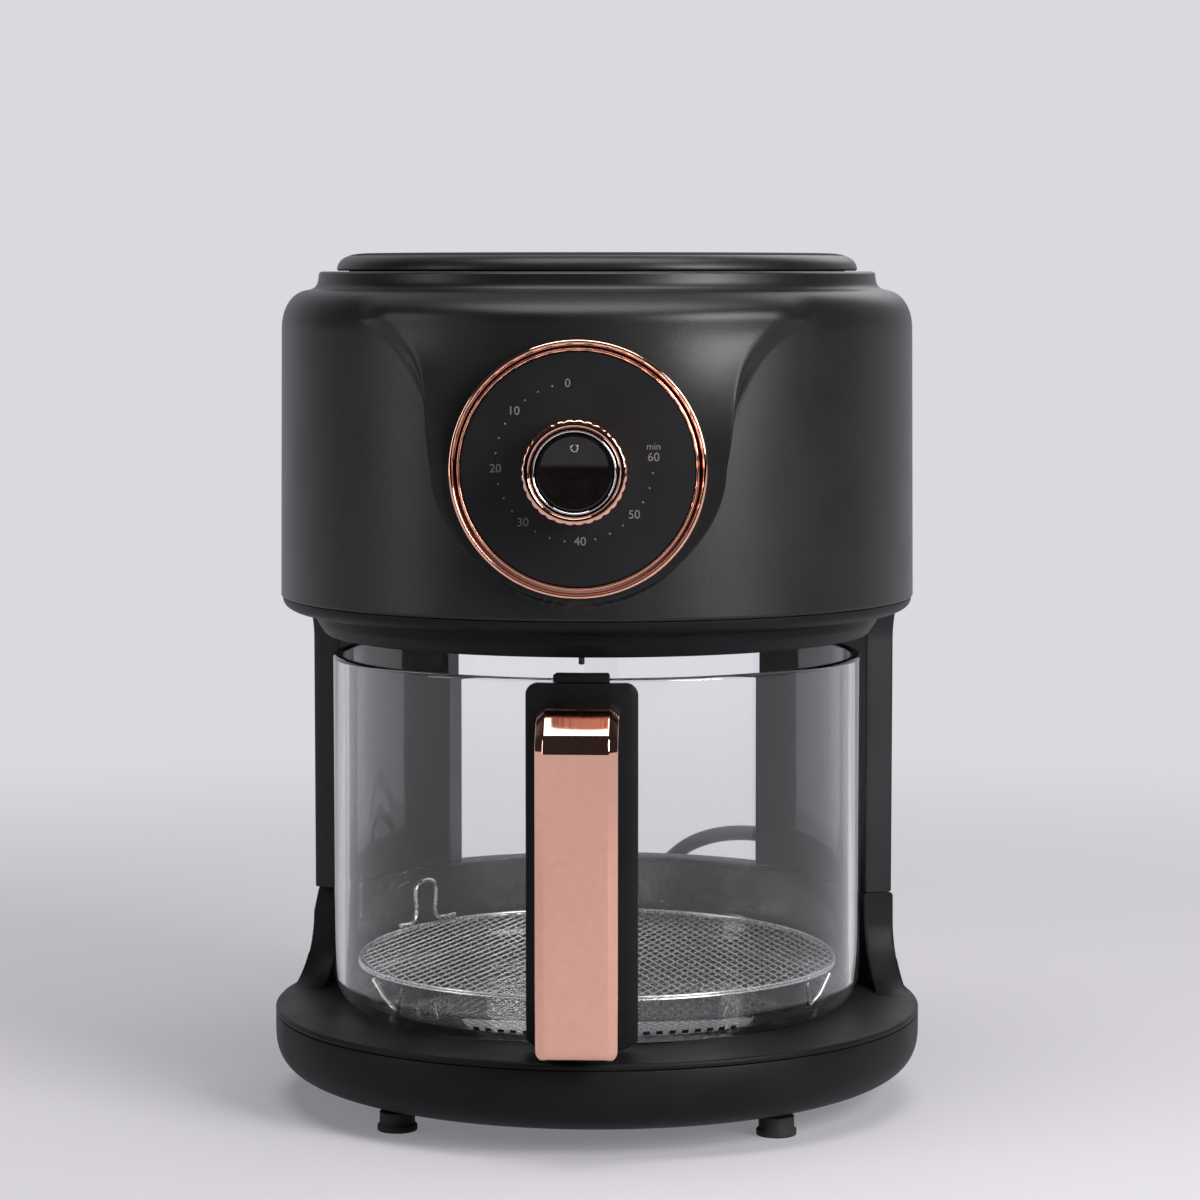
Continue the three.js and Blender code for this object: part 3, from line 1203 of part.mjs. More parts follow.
function plugGeometry() {
  const body = solid(extruded(roundedBox(plug.height, plug.width, plug.corner), plug.length)
    .rotateY(Math.PI / 2).translate(plug.x, plug.y, plugMiddle));
  const neck = turned([
    [0, -plug.neck], [cord.radius * 1.15, -plug.neck], [plug.neckRadius, 0],
    [plug.neckRadius, overrun], [0, overrun],
  ], facets.small).rotateY(Math.PI / 2).translate(plug.x, plug.y, plugMiddle);
  let whole = body.add(solid(neck));
  for (const [offset, z] of pinPlaces) whole = whole.subtract(solid(pinSolid(offset, z, clearance)));
  return geometryOf(whole);
}

const pinPlaces = [
  [-blade.spacing / 2, plugMiddle - blade.earthOffset / 4],
  [blade.spacing / 2, plugMiddle - blade.earthOffset / 4],
  [0, plugMiddle + blade.earthOffset * 0.6],
];

// A blade, or the round earth pin in the middle, seated in the plug's front.
function pinSolid(offset, z, grow) {
  const front = plug.x + plug.length;
  const [from, to] = [front - blade.width - grow, front + blade.length];
  const y = plug.y + offset;
  if (offset === 0) {
    return rod(blade.earthRadius + grow, from, to, 0, 0, facets.tiny).rotateY(Math.PI / 2).translate(0, y, z);
  }
  const [half, tall] = [blade.thickness / 2 + grow, blade.width / 2 + grow];
  return block(from, to, y - half, y + half, z - tall, z + tall);
}

add(cordGroup, 'cord_gland', glandGeometry(), rubber);
add(cordGroup, 'power_cord', cordAlong(leadRoute, cord.leadSides, 24), cordBlack);
add(cordGroup, 'cord_coil', cordAlong(coilRoute, cord.sides, coilSteps), cordBlack);
add(cordGroup, 'cord_tail', cordAlong(tailRoute, cord.leadSides, 10), cordBlack);
add(cordGroup, 'cord_tie', tieGeometry(), rubber);
add(cordGroup, 'plug_body', plugGeometry(), rubber);
['left', 'right', 'earth'].forEach((name, i) => {
  add(cordGroup, `plug_pin_${name}`, pinSolid(...pinPlaces[i], 0), nickel);
});

const routeLength = (points) => new THREE.CatmullRomCurve3(points, false, 'centripetal').getLength();
const lengths = [leadRoute, coilRoute, tailRoute].map(routeLength);
console.log('lead, coil and tail, mm', lengths.map((length) => length.toFixed(1)).join(' '));

// The middle of the appliance, from the knob's front to the base's back, stands over the origin.
fryer.position.y = (knobFront - base.radius) / 2;

export default fryer;
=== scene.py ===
"""A glass air fryer dressed around its frame: fine meshes, finishes, lead, studio and camera."""
import logging
import math
from dataclasses import dataclass, field
from enum import Enum
from typing import Callable, Iterable, Sequence

import bmesh
import bpy
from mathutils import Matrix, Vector


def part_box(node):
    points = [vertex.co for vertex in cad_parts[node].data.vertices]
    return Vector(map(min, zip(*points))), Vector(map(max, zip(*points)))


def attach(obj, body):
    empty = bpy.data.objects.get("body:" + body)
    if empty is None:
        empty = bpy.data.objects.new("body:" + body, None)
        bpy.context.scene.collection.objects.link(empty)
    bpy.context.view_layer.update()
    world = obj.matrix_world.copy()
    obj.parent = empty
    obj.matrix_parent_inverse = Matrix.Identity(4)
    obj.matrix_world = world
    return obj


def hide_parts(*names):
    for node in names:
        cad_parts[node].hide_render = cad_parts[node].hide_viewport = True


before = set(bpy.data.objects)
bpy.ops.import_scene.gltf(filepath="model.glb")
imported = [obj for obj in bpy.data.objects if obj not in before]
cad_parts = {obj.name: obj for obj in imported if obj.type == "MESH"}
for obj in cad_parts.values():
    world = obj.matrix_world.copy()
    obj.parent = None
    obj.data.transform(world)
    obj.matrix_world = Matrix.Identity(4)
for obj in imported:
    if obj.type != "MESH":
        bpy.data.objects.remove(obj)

Point = tuple[float, float, float]
Outline = list[tuple[float, float]]
Colour = tuple[float, float, float]
Face = tuple[int, ...]
Piece = bpy.types.Object
Node = bpy.types.Node
NodeTree = bpy.types.NodeTree
Socket = bpy.types.NodeSocket
Value = Socket | float | int | tuple

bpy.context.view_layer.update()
POT_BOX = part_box("glass_pot")
AXIS_Y = (POT_BOX[0].y + POT_BOX[1].y) / 2
MM = 0.001
WELD = 2e-6
log = logging.getLogger("air_fryer")


def placed(point: Sequence[float]) -> Vector:
    """Turns x, y and z in millimetres about the appliance's axis into a place in the frame, in metres."""
    x, y, z = point
    return Vector((x * MM, y * MM + AXIS_Y, z * MM))


def polar(radius: float, degrees: float, z: float = 0.0) -> Point:
    """Gives the point at a radius and an angle from +X, counted anticlockwise from above."""
    turn = math.radians(degrees)
    return radius * math.cos(turn), radius * math.sin(turn), z


def smooth(value: float, low: float, high: float) -> float:
    """Rises gently from 0 at low to 1 at high."""
    share = min(max((value - low) / (high - low), 0.0), 1.0)
    return share * share * (3 - 2 * share)


def spread(start: float, end: float, count: int) -> list[float]:
    """Gives count + 1 evenly spaced values from start to end."""
    return [start + (end - start) * i / count for i in range(count + 1)]


def full_turn(count: int) -> list[float]:
    """Gives count angles in radians, evenly spread over a full turn."""
    return [math.radians(360 * k / count) for k in range(count)]


def arc(a: float, b: float, radius: float, turns: Iterable[float]) -> Outline:
    """Gives the points of a circle about (a, b) at some turns in radians."""
    return [(a + radius * math.cos(t), b + radius * math.sin(t)) for t in turns]


def rounded(points: Sequence[tuple[float, float, float]], closed: bool = False, steps: int = 5) -> Outline:
    """Rounds the corners of an outline.

    Args:
        points: the corners as (a, b, radius).
        closed: whether the last corner joins the first.
        steps: the number of straight pieces in each rounding.

    Returns:
        The outline with its arcs.
    """
    result: Outline = []
    for i, (a, b, radius) in enumerate(points):
        here = Vector((a, b))
        before = Vector(points[i - 1][:2]) - here
        after = Vector(points[(i + 1) % len(points)][:2]) - here
        ends = not closed and i in (0, len(points) - 1)
        if ends or radius <= 0 or before.angle(after) > math.radians(178):
            result.append((a, b))
            continue
        half = before.angle(after) / 2
        cut = min(radius / math.tan(half), before.length * 0.49, after.length * 0.49)
        middle = here + (before.normalized() + after.normalized()).normalized() * (cut / math.cos(half))
        first = here + before.normalized() * cut - middle
        last = here + after.normalized() * cut - middle
        sweep = first.angle(last)
        for share in spread(0, 1, steps):
            arm = first * math.sin((1 - share) * sweep) + last * math.sin(share * sweep)
            result.append(tuple(middle + arm / math.sin(sweep)))
    return result


def bezier(a: Sequence[float], b: Sequence[float], c: Sequence[float], d: Sequence[float],
           steps: int) -> Outline:
    """Gives a curve from a to d that leaves towards b and arrives from c."""
    weights = [((1 - t) ** 3, 3 * t * (1 - t) ** 2, 3 * t * t * (1 - t), t ** 3) for t in spread(0, 1, steps)]
    return [tuple(sum(w * p[k] for w, p in zip(row, (a, b, c, d))) for k in range(2)) for row in weights]


def dense(outline: Outline, step: float) -> Outline:
    """Adds points to a closed outline so that no side of it is longer than a step.

    Args:
        outline: the outline.
        step: the longest side.

    Returns:
        The outline with its new points.
    """
    result: Outline = []
    for (a, b), (c, d) in zip(outline, [*outline[1:], outline[0]]):
        parts = math.ceil(math.hypot(c - a, d - b) / step)
        result.append((a, b))
        result += [(a + (c - a) * share, b + (d - b) * share) for share in spread(0, 1, parts)[1:-1]]
    return result


def through(points: Sequence[Point], steps: int) -> list[Vector]:
    """Draws a smooth curve through points, with its pace set by the square root of each chord.

    Args:
        points: the places that it passes.
        steps: the number of straight pieces between two of them.

    Returns:
        The curve's points.
    """
    known = [Vector(p) for p in points]
    known = [2 * known[0] - known[1], *known, 2 * known[-1] - known[-2]]
    curve = [known[1]]
    for p0, p1, p2, p3 in zip(known, known[1:], known[2:], known[3:]):
        d0, d1, d2 = ((q - p).length ** 0.5 for p, q in ((p0, p1), (p1, p2), (p2, p3)))
        leave = ((p1 - p0) / d0 - (p2 - p0) / (d0 + d1) + (p2 - p1) / d1) * d1
        arrive = ((p2 - p1) / d1 - (p3 - p1) / (d1 + d2) + (p3 - p2) / d2) * d1
        for t in spread(0, 1, steps)[1:]:
            place = p1 * (2 * t ** 3 - 3 * t * t + 1) + leave * (t ** 3 - 2 * t * t + t)
            curve.append(place + p2 * (3 * t * t - 2 * t ** 3) + arrive * (t ** 3 - t * t))
    return curve


def quad(count: int, row: int, above: int, left: int, right: int) -> Face:
    """Gives the numbers of a face's corners between two rows of count points and two columns."""
    return row * count + left, row * count + right, above * count + right, above * count + left


def add_node(tree: NodeTree, kind: str, inputs: dict[str | int, Value] | None = None,
             **options: str | bool) -> Node:
    """Adds a node to a tree.

    Args:
        tree: the tree.
        kind: the node's type.
        inputs: its inputs by name or number, each a socket that it reads or a value.
        options: its settings.

    Returns:
        The node.
    """
    made = tree.nodes.new(kind)
    for label, value in options.items():
        setattr(made, label, value)
    for label, value in (inputs or {}).items():
        if isinstance(value, Socket):
            tree.links.new(value, made.inputs[label])
        else:
            made.inputs[label].default_value = value
    return made


class Grain(Enum):
    """The kinds of fine surface."""

    MOULDED = "moulded"
    POLISHED = "polished"
    BRUSHED = "brushed"
    GLASS = "glass"


@dataclass(frozen=True)
class Finish:
    """One finish: its colours, gloss and grain. Scales count features per metre, depths are in metres."""

    name: str
    slot: str
    dark: Colour
    light: Colour
    roughness: float
    spread: float = 0.05
    metallic: float = 0.0
    grain: Grain = Grain.MOULDED
    grain_scale: float = 1500.0
    grain_depth: float = 0.00004
    mottle_scale: float = 30.0
    stretch: Point = (1.0, 1.0, 1.0)
    specular: float = 0.5
    coat: float = 0.0
    coat_roughness: float = 0.04
    glass_index: float = 1.42
    mottle_octaves: float = 4.0
    grain_octaves: float = 2.0
    colour_range: tuple[float, float] = (0.12, 0.42)
    gloss_range: tuple[float, float] = (0.3, 0.7)

    def material(self) -> bpy.types.Material:
        """Builds the finish's material, or finds it where it is built.

        Returns:
            The material.
        """
        known = bpy.data.materials.get(self.name)
        if known:
            return known
        material = bpy.data.materials.new(self.name)
        material.use_nodes = True
        tree = material.node_tree
        tree.nodes.clear()
        place = add_node(tree, "ShaderNodeTexCoord").outputs["Object"]
        stretched = add_node(tree, "ShaderNodeMapping", {"Vector": place, "Scale": self.stretch})
        mottle = self._noise(tree, place, self.mottle_scale, self.mottle_octaves)
        grain = self._noise(tree, stretched.outputs["Vector"], self.grain_scale, self.grain_octaves)
        inputs = {
            "Base Color": self._colour(tree, mottle, grain),
            "Roughness": self._gloss(tree, grain if self.grain is Grain.BRUSHED else mottle),
            "Normal": self._bump(tree, grain),
            "Metallic": self.metallic,
            "Specular IOR Level": self.specular,
            "Coat Weight": self.coat,
            "Coat Roughness": self.coat_roughness,
        }
        if self.grain is Grain.GLASS:
            inputs |= {"Transmission Weight": 1.0, "IOR": self.glass_index}
        shader = add_node(tree, "ShaderNodeBsdfPrincipled", inputs)
        add_node(tree, "ShaderNodeOutputMaterial", {"Surface": shader.outputs["BSDF"]})
        return material

    def _noise(self, tree: NodeTree, place: Socket, scale: float, octaves: float) -> Socket:
        """Adds a noise and gives its value."""
        inputs = {"Vector": place, "Scale": scale, "Detail": octaves}
        return add_node(tree, "ShaderNodeTexNoise", inputs).outputs["Fac"]

    def _colour(self, tree: NodeTree, mottle: Socket, grain: Socket) -> Socket:
        """Varies the colour slowly over the surface and finely with its grain.

        Args:
            tree: the material's nodes.
            mottle: the slow noise.
            grain: the fine noise.

        Returns:
            The colour.
        """
        both = add_node(tree, "ShaderNodeMath", {0: mottle, 1: grain}, operation="MULTIPLY")
        ramp = add_node(tree, "ShaderNodeValToRGB", {"Fac": both.outputs[0]})
        stops = ramp.color_ramp.elements
        for k, colour in enumerate((self.dark, self.light)):
            stops[k].position = self.colour_range[k]
            stops[k].color = (*colour, 1)
        return ramp.outputs["Color"]

    def _gloss(self, tree: NodeTree, noise: Socket) -> Socket:
        """Lets the roughness wander with a noise: the grain on brushed metal, the slow one elsewhere."""
        low, high = self.gloss_range
        return add_node(tree, "ShaderNodeMapRange", {
            "Value": noise, "From Min": low, "From Max": high,
            "To Min": max(self.roughness - self.spread, 0.0), "To Max": self.roughness + self.spread,
        }).outputs["Result"]

    def _bump(self, tree: NodeTree, grain: Socket) -> Socket:
        """Raises the surface by its grain and gives its normal."""
        inputs = {"Height": grain, "Distance": self.grain_depth}
        return add_node(tree, "ShaderNodeBump", inputs).outputs["Normal"]


HEAD_BLACK = Finish("grained black", "head_plastic", (0.005, 0.005, 0.0055), (0.011, 0.011, 0.012),
                    0.38, 0.02, grain_scale=1900.0, grain_depth=0.00005, specular=0.32)
CAP_BLACK = Finish("textured cap black", "head_plastic", (0.006, 0.006, 0.0065), (0.012, 0.012, 0.013),
                   0.72, 0.03, grain_scale=1500.0, grain_depth=0.00006, specular=0.1)
COLLAR_BLACK = Finish("satin collar black", "head_plastic", (0.005, 0.005, 0.0055), (0.01, 0.01, 0.011),
                      0.45, 0.02, grain_scale=2200.0, grain_depth=0.00001, specular=0.13)
BASE_BLACK = Finish("satin black", "base_plastic", (0.005, 0.005, 0.0055), (0.01, 0.01, 0.011),
                    0.5, grain_scale=2200.0, grain_depth=0.00001, specular=0.13)
PLATE_BLACK = Finish("matte plate black", "base_plastic", (0.005, 0.005, 0.006), (0.009, 0.009, 0.011),
                     0.5, grain_scale=2600.0, grain_depth=0.00001, specular=0.25)
RUBBER = Finish("soft rubber", "rubber", (0.009, 0.009, 0.009), (0.02, 0.02, 0.02), 0.7, grain_scale=900.0)
LEAD_BLACK = Finish("flexible sheath", "cord", (0.01, 0.01, 0.011), (0.021, 0.021, 0.023), 0.48,
                    grain_scale=1700.0, grain_depth=0.00002)
ROSE_GOLD = Finish("metallised rose gold", "rose_gold", (0.8, 0.45, 0.34), (0.84, 0.49, 0.37), 0.07, 0.02,
                   1.0, Grain.POLISHED, 260.0, 0.0000012, 25.0)
CHROME = Finish("bright chrome", "chrome", (0.72, 0.72, 0.74), (0.84, 0.84, 0.86), 0.06, 0.02,
                1.0, Grain.POLISHED, 300.0, 0.000001, 40.0)
GLOSS_BLACK = Finish("high gloss black", "gloss_black", (0.004, 0.003, 0.003), (0.008, 0.006, 0.006),
                     0.04, 0.02, 0.0, Grain.POLISHED, 240.0, 0.0000012, 30.0, specular=0.35, coat=0.15)
STAINLESS = Finish("stainless wire", "stainless", (0.5, 0.5, 0.49), (0.72, 0.72, 0.7), 0.24, 0.08,
                   1.0, Grain.BRUSHED, 1600.0, 0.000004, 60.0)
PRESSED_STEEL = Finish("pressed steel", "stainless", (0.46, 0.46, 0.45), (0.62, 0.62, 0.6), 0.32, 0.08,
                       1.0, Grain.BRUSHED, 900.0, 0.000004, 40.0, (0.08, 0.08, 1.0))
DARK_STEEL = Finish("heated steel", "dark_steel", (0.1, 0.085, 0.075), (0.24, 0.22, 0.2), 0.45, 0.1,
                    1.0, Grain.BRUSHED, 1200.0, 0.000008, 90.0)
ALUMINIUM = Finish("pressed aluminium", "aluminium", (0.5, 0.5, 0.51), (0.66, 0.66, 0.67), 0.38, 0.08,
                   1.0, Grain.BRUSHED, 1000.0, 0.000005, 50.0, (1.0, 0.1, 1.0))
NICKEL = Finish("nickel plate", "nickel", (0.6, 0.57, 0.52), (0.76, 0.73, 0.68), 0.2, 0.05,
                1.0, Grain.POLISHED, 500.0, 0.000002, 60.0)
INK = Finish("grey print", "aluminium", (0.15, 0.15, 0.155), (0.2, 0.2, 0.21), 0.6,
             grain_scale=4000.0, grain_depth=0.000004)
GLASS = Finish("clear glass", "glass", (0.994, 1.0, 0.998), (1.0, 1.0, 1.0), 0.001, 0.001,
               0.0, Grain.GLASS, 30.0, 0.0000001, 9.0)


class Shape:
    """Points and faces in millimetres about the appliance's axis, gathered before they become one mesh."""

    def __init__(self) -> None:
        """Starts with no points."""
        self.points: list[Point] = []
        self.faces: list[Face] = []

    def loft(self, rings: Sequence[Sequence[Point]], joined: bool = False) -> "Shape":
        """Skins rings of equal counts, with a face over each end unless the last ring joins the first.

        Args:
            rings: the rings in order.
            joined: whether the skin runs on from the last ring to the first.

        Returns:
            The shape.
        """
        start, count, rows = len(self.points), len(rings[0]), len(rings)
        for ring in rings:
            self.points.extend(tuple(p) for p in ring)
        faces = [quad(count, row, (row + 1) % rows, k, (k + 1) % count)
                 for row in range(rows if joined else rows - 1) for k in range(count)]
        if not joined:
            faces.append(tuple(reversed(range(count))))
            faces.append(tuple((rows - 1) * count + k for k in range(count)))
        self.faces.extend(tuple(start + corner for corner in face) for face in faces)
        return self

    def turned(self, outline: Outline, segments: int = 160, y: float = 0.0) -> "Shape":
        """Turns an outline of (radius, z) about an upright line at y behind the axis."""
        turns = [polar(1.0, 360 * i / segments)[:2] for i in range(segments)]
        return self.loft([[(r * c, y + r * s, z) for r, z in outline] for c, s in turns], joined=True)

    def turned_to_front(self, outline: Outline, z: float, segments: int = 160,
                        ripple: Callable[[float, float], float] | None = None) -> "Shape":
        """Turns an outline of (radius, reach to the front) about the dial's line.

        Args:
            outline: its radii and their distances in front of the appliance's axis.
            z: the height of the line.
            segments: the number of sides.
            ripple: gives a new radius from the angle in degrees and the radius.

        Returns:
            The shape.
        """
        rings = []
        for i in range(segments):
            angle = 360 * i / segments
            c, s = polar(1.0, angle)[:2]
            ring = [(ripple(angle, r) if ripple else r, h) for r, h in outline]
            rings.append([(r * c, -h, z + r * s) for r, h in ring])
        return self.loft(rings, joined=True)

    def tube(self, path: Sequence[Sequence[float]], radius: float, sides: int = 12) -> "Shape":
        """Sweeps a round section along a path.

        Args:
            path: the places of its middle.
            radius: the section's radius.
            sides: the section's number of sides.

        Returns:
            The shape.
        """
        places = [Vector(p) for p in path]
        turns = full_turn(sides)
        arm = Vector((0.31, 0.17, 0.93))
        rings = []
        for i, place in enumerate(places):
            along = (places[min(i + 1, len(places) - 1)] - places[max(i - 1, 0)]).normalized()
            arm = (arm - along * arm.dot(along)).normalized()
            across = along.cross(arm)
            rings.append([place + (arm * math.cos(t) + across * math.sin(t)) * radius for t in turns])
        return self.loft(rings)

    def drawn_across(self, outline: Outline, width: float) -> "Shape":
        """Draws an outline of (y, z) out along X, half its width to each side of the middle."""
        return self.loft([[(x, y, z) for y, z in outline] for x in (-width / 2, width / 2)])

    def block(self, low: Point, high: Point) -> "Shape":
        """Adds a box between two corners."""
        (x0, y0, z0), (x1, y1, z1) = low, high
        return self.loft([[(x0, y0, z), (x1, y0, z), (x1, y1, z), (x0, y1, z)] for z in (z0, z1)])

    def build(self, name: str, finish: Finish, sharp: float = 32.0, bevel: float = 0.0) -> Piece:
        """Makes the object, with its doubles merged, its faces outwards and its hard edges marked.

        Args:
            name: the object's name.
            finish: its finish.
            sharp: edges that bend by more degrees than this are hard.
            bevel: the width of the rounding on its edges, in millimetres.

        Returns:
            The object.
        """
        mesh = bpy.data.meshes.new(name)
        mesh.from_pydata([placed(p) for p in self.points], [], self.faces)
        cleaned(mesh)
        made = bpy.data.objects.new(name, mesh)
        bpy.context.scene.collection.objects.link(made)
        if bevel > 0:
            rounding = made.modifiers.new("edges", "BEVEL")
            rounding.width = bevel * MM
            rounding.segments = 3
            rounding.limit_method = "ANGLE"
            rounding.angle_limit = math.radians(30)
            settle(made)
        shaded(made.data, sharp)
        made.data.materials.clear()
        made.data.materials.append(finish.material())
        return made

    def wear(self, name: str, finish: Finish, body: str, *nodes: str, sharp: float = 32.0,
             bevel: float = 0.0) -> Piece:
        """Makes the object and dresses it on its body, in place of the solids that are named."""
        return dress(self.build(name, finish, sharp, bevel), body, finish, *nodes)


def cleaned(mesh: bpy.types.Mesh) -> None:
    """Merges a mesh's doubles, drops its empty faces and turns the rest outwards.

    Args:
        mesh: the mesh, which is changed.
    """
    work = bmesh.new()
    work.from_mesh(mesh)
    bmesh.ops.remove_doubles(work, verts=work.verts, dist=WELD)
    bmesh.ops.dissolve_degenerate(work, edges=work.edges, dist=WELD / 4)
    bmesh.ops.recalc_face_normals(work, faces=work.faces)
    work.to_mesh(mesh)
    work.free()


def shaded(mesh: bpy.types.Mesh, sharp: float) -> None:
    """Shades a mesh smooth, apart from edges that bend by more degrees than sharp."""
    mesh.shade_smooth()
    mesh.set_sharp_from_angle(angle=math.radians(sharp))


def evaluated(holder: Piece) -> bpy.types.Mesh:
    """Gives the plain mesh that an object's modifiers or its text make.

    Args:
        holder: the object.

    Returns:
        A new mesh.
    """
    bpy.context.view_layer.update()
    graph = bpy.context.evaluated_depsgraph_get()
    return bpy.data.meshes.new_from_object(holder.evaluated_get(graph), depsgraph=graph)


def settle(piece: Piece) -> None:
    """Turns what a piece's modifiers make into its plain mesh.

    Args:
        piece: the piece, which is changed.
    """
    made = evaluated(piece)
    made.name = piece.name
    piece.modifiers.clear()
    piece.data = made


def dress(piece: Piece, body: str, finish: Finish, *nodes: str) -> Piece:
    """Makes a piece ride on a body and hides the solids that it stands for.

    Args:
        piece: the finished object.
        body: the body that carries it.
        finish: the finish that it wears; not used here.
        nodes: the solids that it replaces.

    Returns:
        The piece.
    """
    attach(piece, body)
    if nodes:
        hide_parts(*nodes)
    stood_for = ", ".join(nodes) or "itself"
    log.info("%s: %d faces, on %s, for %s", piece.name, len(piece.data.polygons), body, stood_for)
    return piece


class Tree:
    """A tree of geometry nodes with named inputs."""

    def __init__(self, name: str, inputs: Iterable[tuple[str, str]]) -> None:
        """Starts a tree.

        Args:
            name: its name.
            inputs: the name and the socket type of each input.
        """
        self.group = bpy.data.node_groups.new(name, "GeometryNodeTree")
        self.names: dict[str, str] = {}
        sockets = self.group.interface
        for label, kind in inputs:
            socket = sockets.new_socket(name=label, in_out="INPUT", socket_type=f"NodeSocket{kind}")
            self.names[label] = socket.identifier
        sockets.new_socket(name="Geometry", in_out="OUTPUT", socket_type="NodeSocketGeometry")
        self.inputs = self.group.nodes.new("NodeGroupInput").outputs

    def node(self, kind: str, inputs: dict[str | int, Value] | None = None, **options: str | bool) -> Node:
        """Adds a node, whose type is named without the common beginning for geometry nodes."""
        full = kind if kind.startswith("Shader") else f"GeometryNode{kind}"
        return add_node(self.group, full, inputs, **options)

    def maths(self, operation: str, first: Socket | float, second: Socket | float = 0.0) -> Socket:
        """Adds a sum, product or other operation on numbers and gives its result."""
        return self.node("ShaderNodeMath", {0: first, 1: second}, operation=operation).outputs[0]

    def vector(self, operation: str, inputs: dict[str | int, Value], result: str = "Vector") -> Socket:
        """Adds an operation on vectors and gives its result."""
        return self.node("ShaderNodeVectorMath", inputs, operation=operation).outputs[result]

    def moved(self, geometry: Socket, position: Socket) -> Socket:
        """Moves a geometry's points to new places and gives it."""
        return self.node("SetPosition", {"Geometry": geometry, "Position": position}).outputs[0]

    def finish(self, geometry: Socket) -> None:
        """Ends the tree: its copies become plain geometry in the input's material.

        Args:
            geometry: what the tree has made.
        """
        real = self.node("RealizeInstances", {"Geometry": geometry})
        painted = self.node("SetMaterial", {"Geometry": real.outputs[0], "Material": self.inputs["Material"]})
        output = self.group.nodes.new("NodeGroupOutput")
        self.group.links.new(painted.outputs[0], output.inputs[0])

    def grow(self, name: str, values: dict[str, float | int | tuple | bpy.types.ID], sharp: float = 32.0,
             closed: bool = True) -> Piece:
        """Makes an object from the tree.

        Args:
            name: the object's name.
            values: what each input is set to.
            sharp: edges that bend by more degrees than this are hard.
            closed: whether its doubles are merged and its faces turned outwards.

        Returns:
            The object, as a plain mesh.
        """
        made = bpy.data.objects.new(name, bpy.data.meshes.new(name))
        bpy.context.scene.collection.objects.link(made)
        pattern = made.modifiers.new("pattern", "NODES")
        pattern.node_group = self.group
        for label, value in values.items():
            pattern[self.names[label]] = value
        settle(made)
        if closed:
            cleaned(made.data)
        shaded(made.data, sharp)
        return made


class Copies(Tree):
    """Copies of one shape in a row or round a line, with every so-many-th one left out."""

    def __init__(self) -> None:
        """Builds the tree."""
        super().__init__("copies", [
            ("Shape", "Object"), ("Count", "Int"), ("Start", "Float"), ("Step", "Float"), ("Axis", "Vector"),
            ("Pivot", "Vector"), ("Offset", "Vector"), ("Skip", "Int"), ("Phase", "Int"),
            ("Material", "Material"),
        ])
        given = self.inputs
        index = self.node("InputIndex").outputs[0]
        line = self.node("MeshLine", {"Count": given["Count"]}).outputs[0]
        shift = self.vector("SCALE", {0: given["Offset"], "Scale": index})
        points = self.moved(line, self.vector("ADD", {0: given["Pivot"], 1: shift}))
        numbered = self.node("StoreNamedAttribute", {
            "Geometry": points, "Name": "turn_index", "Value": index,
        }, data_type="FLOAT", domain="POINT").outputs[0]
        left = self.maths("MODULO", self.maths("ADD", index, given["Phase"]), given["Skip"])
        omitted = self.maths("COMPARE", left, 0.0)
        kept = self.node("DeleteGeometry", {"Geometry": numbered, "Selection": omitted}).outputs[0]
        number = self.node("InputNamedAttribute", {"Name": "turn_index"}, data_type="FLOAT")
        turned = self.maths("MULTIPLY", given["Step"], number.outputs["Attribute"])
        angle = self.maths("ADD", given["Start"], turned)
        shape = self.node("ObjectInfo", {"Object": given["Shape"]}, transform_space="ORIGINAL")
        copies = self.node("InstanceOnPoints", {
            "Points": kept, "Instance": shape.outputs["Geometry"],
            "Rotation": self.vector("SCALE", {0: given["Axis"], "Scale": angle}),
        })
        self.finish(copies.outputs[0])

    def make(self, name: str, source: Shape, finish: Finish, count: int, pivot: Point = (0, 0, 0),
             offset: Point = (0, 0, 0), start: float = 0.0, step: float = 0.0, axis: Point = (0, 0, 1),
             skip: int = 0) -> Piece:
        """Makes the copies of a shape.

        Args:
            name: the object's name.
            source: the shape, about the pivot, in millimetres.
            finish: its finish.
            count: how many places there are.
            pivot: the first copy's place, in millimetres about the appliance's axis.
            offset: the way from one copy to the next, in millimetres.
            start: the first copy's turn, in degrees.
            step: the turn from one copy to the next, in degrees.
            axis: the line that they turn about.
            skip: every copy whose number this divides is left out. With 0, all are kept.

        Returns:
            The object.
        """
        seed = source.build(f"{name}_seed", finish)
        seed.data.transform(seed.matrix_world)
        for vertex in seed.data.vertices:
            vertex.co.y -= AXIS_Y
        made = self.grow(name, {
            "Shape": seed, "Count": count, "Start": math.radians(start), "Step": math.radians(step),
            "Axis": axis, "Pivot": tuple(placed(pivot)), "Offset": tuple(value * MM for value in offset),
            "Skip": skip or 2 * count, "Phase": 0 if skip else 1, "Material": finish.material(),
        })
        bpy.data.objects.remove(seed)
        return made


